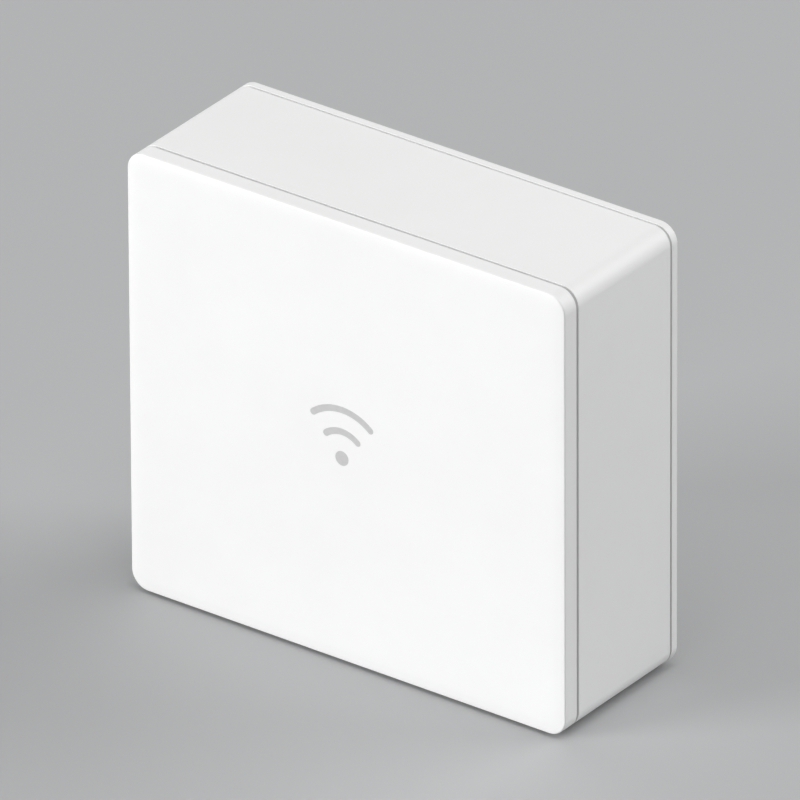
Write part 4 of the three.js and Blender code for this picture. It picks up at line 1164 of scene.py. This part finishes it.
def make_pairing_button(white):
    """A round button with a shallow dish in its face, a flange inside the wall, and a stem."""
    low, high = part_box("pairing_button")
    flange = SIDE_INNER + BUTTON_FLANGE_GAP
    flange_back = flange + BUTTON_FLANGE_THICKNESS
    profile = button_face(low.x) + turned_edge(BUTTON_RADIUS, low.x, BUTTON_EDGE) + [
        (BUTTON_RADIUS, flange),
        (BUTTON_FLANGE_RADIUS, flange),
        (BUTTON_FLANGE_RADIUS, flange_back),
        (BUTTON_STEM_RADIUS, flange_back),
        (BUTTON_STEM_RADIUS, high.x - BUTTON_STEM_EDGE),
        (BUTTON_STEM_RADIUS - BUTTON_STEM_EDGE, high.x),
    ]
    bm = bmesh.new()
    spot = middle("pairing_button")
    add_turned_x(bm, spot.y, spot.z, profile)
    button = finish_mesh("pairing_button_cap", bm)
    smooth(button, angle=35)
    install(button, "pairing_button_body", "shell_white", white, "pairing_button")


# -------- the sockets behind the window

def mouth_outline(grow):
    """The socket's mouth, grown all round: a rectangle with a step below it for the plug's latch."""
    half = MOUTH_HALF_WIDTH + grow
    latch = LATCH_HALF_WIDTH + grow
    low = MOUTH_LOW - grow
    step = MOUTH_LOW - LATCH_DROP - grow
    high = MOUTH_HIGH + grow
    outline = [(-half, low), (-latch, low), (-latch, step), (latch, step), (latch, low)]
    outline += [(half, low), (half, high), (-half, high)]
    return [(SOCKET_X + x, z) for x, z in outline]


def make_ethernet_socket(black):
    """The socket's moulded body, with a flared mouth."""
    outline = box_outline(socket_low, socket_high, SOCKET_RADIUS, SOCKET_CORNER_STEPS)
    body = prism_piece("ethernet_socket_body", outline, socket_low.y, socket_high.y)
    mouth = bmesh.new()
    depths = (MOUTH_END, socket_high.y - MOUTH_LIP, socket_high.y, socket_high.y + PAST)
    add_stepped(mouth, mouth_outline(0), mouth_outline(MOUTH_LIP), depths)
    combine(body, mouth, "DIFFERENCE")
    soften(body, CARVED_EDGE)
    install(body, "hub_body", "black_plastic", black, "ethernet_socket")


def make_ethernet_shield(tin):
    """The sheet metal sleeve round the socket."""
    low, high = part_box("ethernet_shield")
    outer = box_outline(low, high, SHIELD_RADIUS)
    inner = box_outline(low, high, SHIELD_INNER_RADIUS, grow=-SHIELD_SHEET)
    shield = prism_piece("ethernet_shield_can", outer, low.y, high.y)
    inside = bmesh.new()
    add_prism(inside, inner, low.y - PAST, high.y + PAST)
    combine(shield, inside, "DIFFERENCE")
    smooth(shield, angle=30)
    install(shield, "hub_body", "tin_plate", tin, "ethernet_shield")


def add_contact(bm, x):
    """One flat contact wire, bent along its route under the mouth's ceiling."""
    left, right = x - CONTACT_WIDTH / 2, x + CONTACT_WIDTH / 2
    rings = []
    for distance, drop in CONTACT_ROUTE:
        y = MOUTH_END + distance
        top = MOUTH_HIGH - drop
        low = top - CONTACT_THICKNESS
        rings.append([(left, y, low), (right, y, low), (right, y, top), (left, y, top)])
    add_rings(bm, rings)


def make_ethernet_contacts(gold):
    """The row of contact wires, held by a bar at their deep end."""
    bm = bmesh.new()
    first = -(CONTACT_COUNT - 1) / 2
    for i in range(CONTACT_COUNT):
        add_contact(bm, SOCKET_X + (first + i) * CONTACT_PITCH)
    contacts = finish_mesh("ethernet_contact_wires", bm)
    bar = bmesh.new()
    bar_front = MOUTH_END + CONTACT_BAR_START
    low_drop, high_drop = CONTACT_BAR_DROPS
    add_block(
        bar,
        (SOCKET_X - CONTACT_BAR_HALF, bar_front, MOUTH_HIGH - low_drop),
        (SOCKET_X + CONTACT_BAR_HALF, bar_front + CONTACT_BAR_DEPTH, MOUTH_HIGH - high_drop),
    )
    combine(contacts, bar, "UNION")
    soften(contacts, CONTACT_EDGE)
    install(contacts, "hub_body", "gold_plate", gold, "ethernet_contacts")


def make_power_inlet(black):
    """The inlet's moulded body, with a round bore that is flared at its mouth."""
    low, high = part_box("power_inlet")
    spot = middle("power_inlet")
    body = prism_piece("power_inlet_body", box_outline(low, high, INLET_RADIUS), low.y, high.y)
    bore = bmesh.new()
    add_turned_y(bore, spot.x, spot.z, [
        (INLET_BORE_RADIUS, high.y - INLET_BORE_DEPTH),
        (INLET_BORE_RADIUS, high.y - INLET_MOUTH_DEPTH),
        (INLET_MOUTH_RADIUS, high.y),
        (INLET_MOUTH_RADIUS, high.y + PAST),
    ])
    combine(body, bore, "DIFFERENCE")
    soften(body, CARVED_EDGE)
    install(body, "hub_body", "black_plastic", black, "power_inlet")


def make_power_inlet_pin(gold):
    """The pin in the middle of the inlet, with a round tip."""
    low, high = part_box("power_inlet_pin")
    spot = middle("power_inlet")
    radius = (high.x - low.x) / 2
    tip = radius * PIN_TIP_SHARE
    turns = turns_between(0, PIN_TIP_TURN, PIN_TIP_STEPS)
    profile = [(radius, low.y)]
    profile += [(radius * math.cos(a), high.y - tip * (1 - math.sin(a))) for a in turns]
    bm = bmesh.new()
    add_turned_y(bm, spot.x, spot.z, profile, POST_STEPS)
    pin = finish_mesh("power_inlet_centre_pin", bm)
    smooth(pin, angle=40)
    install(pin, "hub_body", "gold_plate", gold, "power_inlet_pin")


# -------- the CAD nodes that stay

def dress(material, *nodes):
    for node in nodes:
        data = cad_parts[node].data
        data.materials.clear()
        data.materials.append(material)


# -------- the whole scene

make_camera()
make_lights()
make_floor()

white = shell_plastic("shell_white")
grey_mark = mark_plastic()
foot_rubber = rubber("foot_rubber", colour(0.16, 0.16, 0.17))
black = filled_plastic("black_plastic", colour(0.02, 0.02, 0.022))
cream = filled_plastic("cream_plastic", colour(0.62, 0.58, 0.45), roughness=0.35)
tin = sheet_metal("tin_plate", colour(0.72, 0.73, 0.74), stretch=(1, 0.05, 1))
gold = sheet_metal("gold_plate", colour(0.9, 0.68, 0.32), stretch=(1, 0.08, 1), roughness=0.24)
steel = sheet_metal("screw_steel", colour(0.6, 0.61, 0.63), stretch=(1, 1, 1))
aluminium = sheet_metal("aluminium", colour(0.8, 0.81, 0.82), stretch=(0.05, 1, 1), roughness=0.36)
laminate = board_laminate()
jacket = rubber("cable_jacket", colour(0.03, 0.03, 0.032))
pad = rubber("pad_grey", colour(0.3, 0.36, 0.42))
battery_film = wrap_film("battery_wrap", colour(0.04, 0.13, 0.38), colour(0.08, 0.22, 0.5))
label_film = wrap_film("label_film", colour(0.7, 0.7, 0.7), colour(0.78, 0.78, 0.78), roughness=0.4)

make_front_cover(white)
make_status_mark(grey_mark)
make_main_housing(white)
make_wall_plate(white)
make_feet(foot_rubber)
make_pairing_button(white)
make_ethernet_socket(black)
make_ethernet_shield(tin)
make_ethernet_contacts(gold)
make_power_inlet(black)
make_power_inlet_pin(gold)

dress(laminate, "main_board", "antenna_top", "antenna_right")
dress(tin, "processor_shield", "radio_shield")
dress(aluminium, "heat_spreader", "power_capacitor")
dress(pad, "thermal_pad")
dress(black, "ethernet_transformer", "power_inductor", "reset_switch", "pairing_switch", "speaker")
dress(cream, "reset_plunger", "pairing_switch_plunger", "status_led", "battery_socket", "battery_plug")
dress(jacket, "antenna_cable_top", "antenna_cable_right", "speaker_lead", "battery_lead")
dress(battery_film, "backup_battery")
dress(label_film, "rating_label")
for corner_name in CORNERS:
    dress(steel, "case_screw_" + corner_name, "board_screw_" + corner_name)
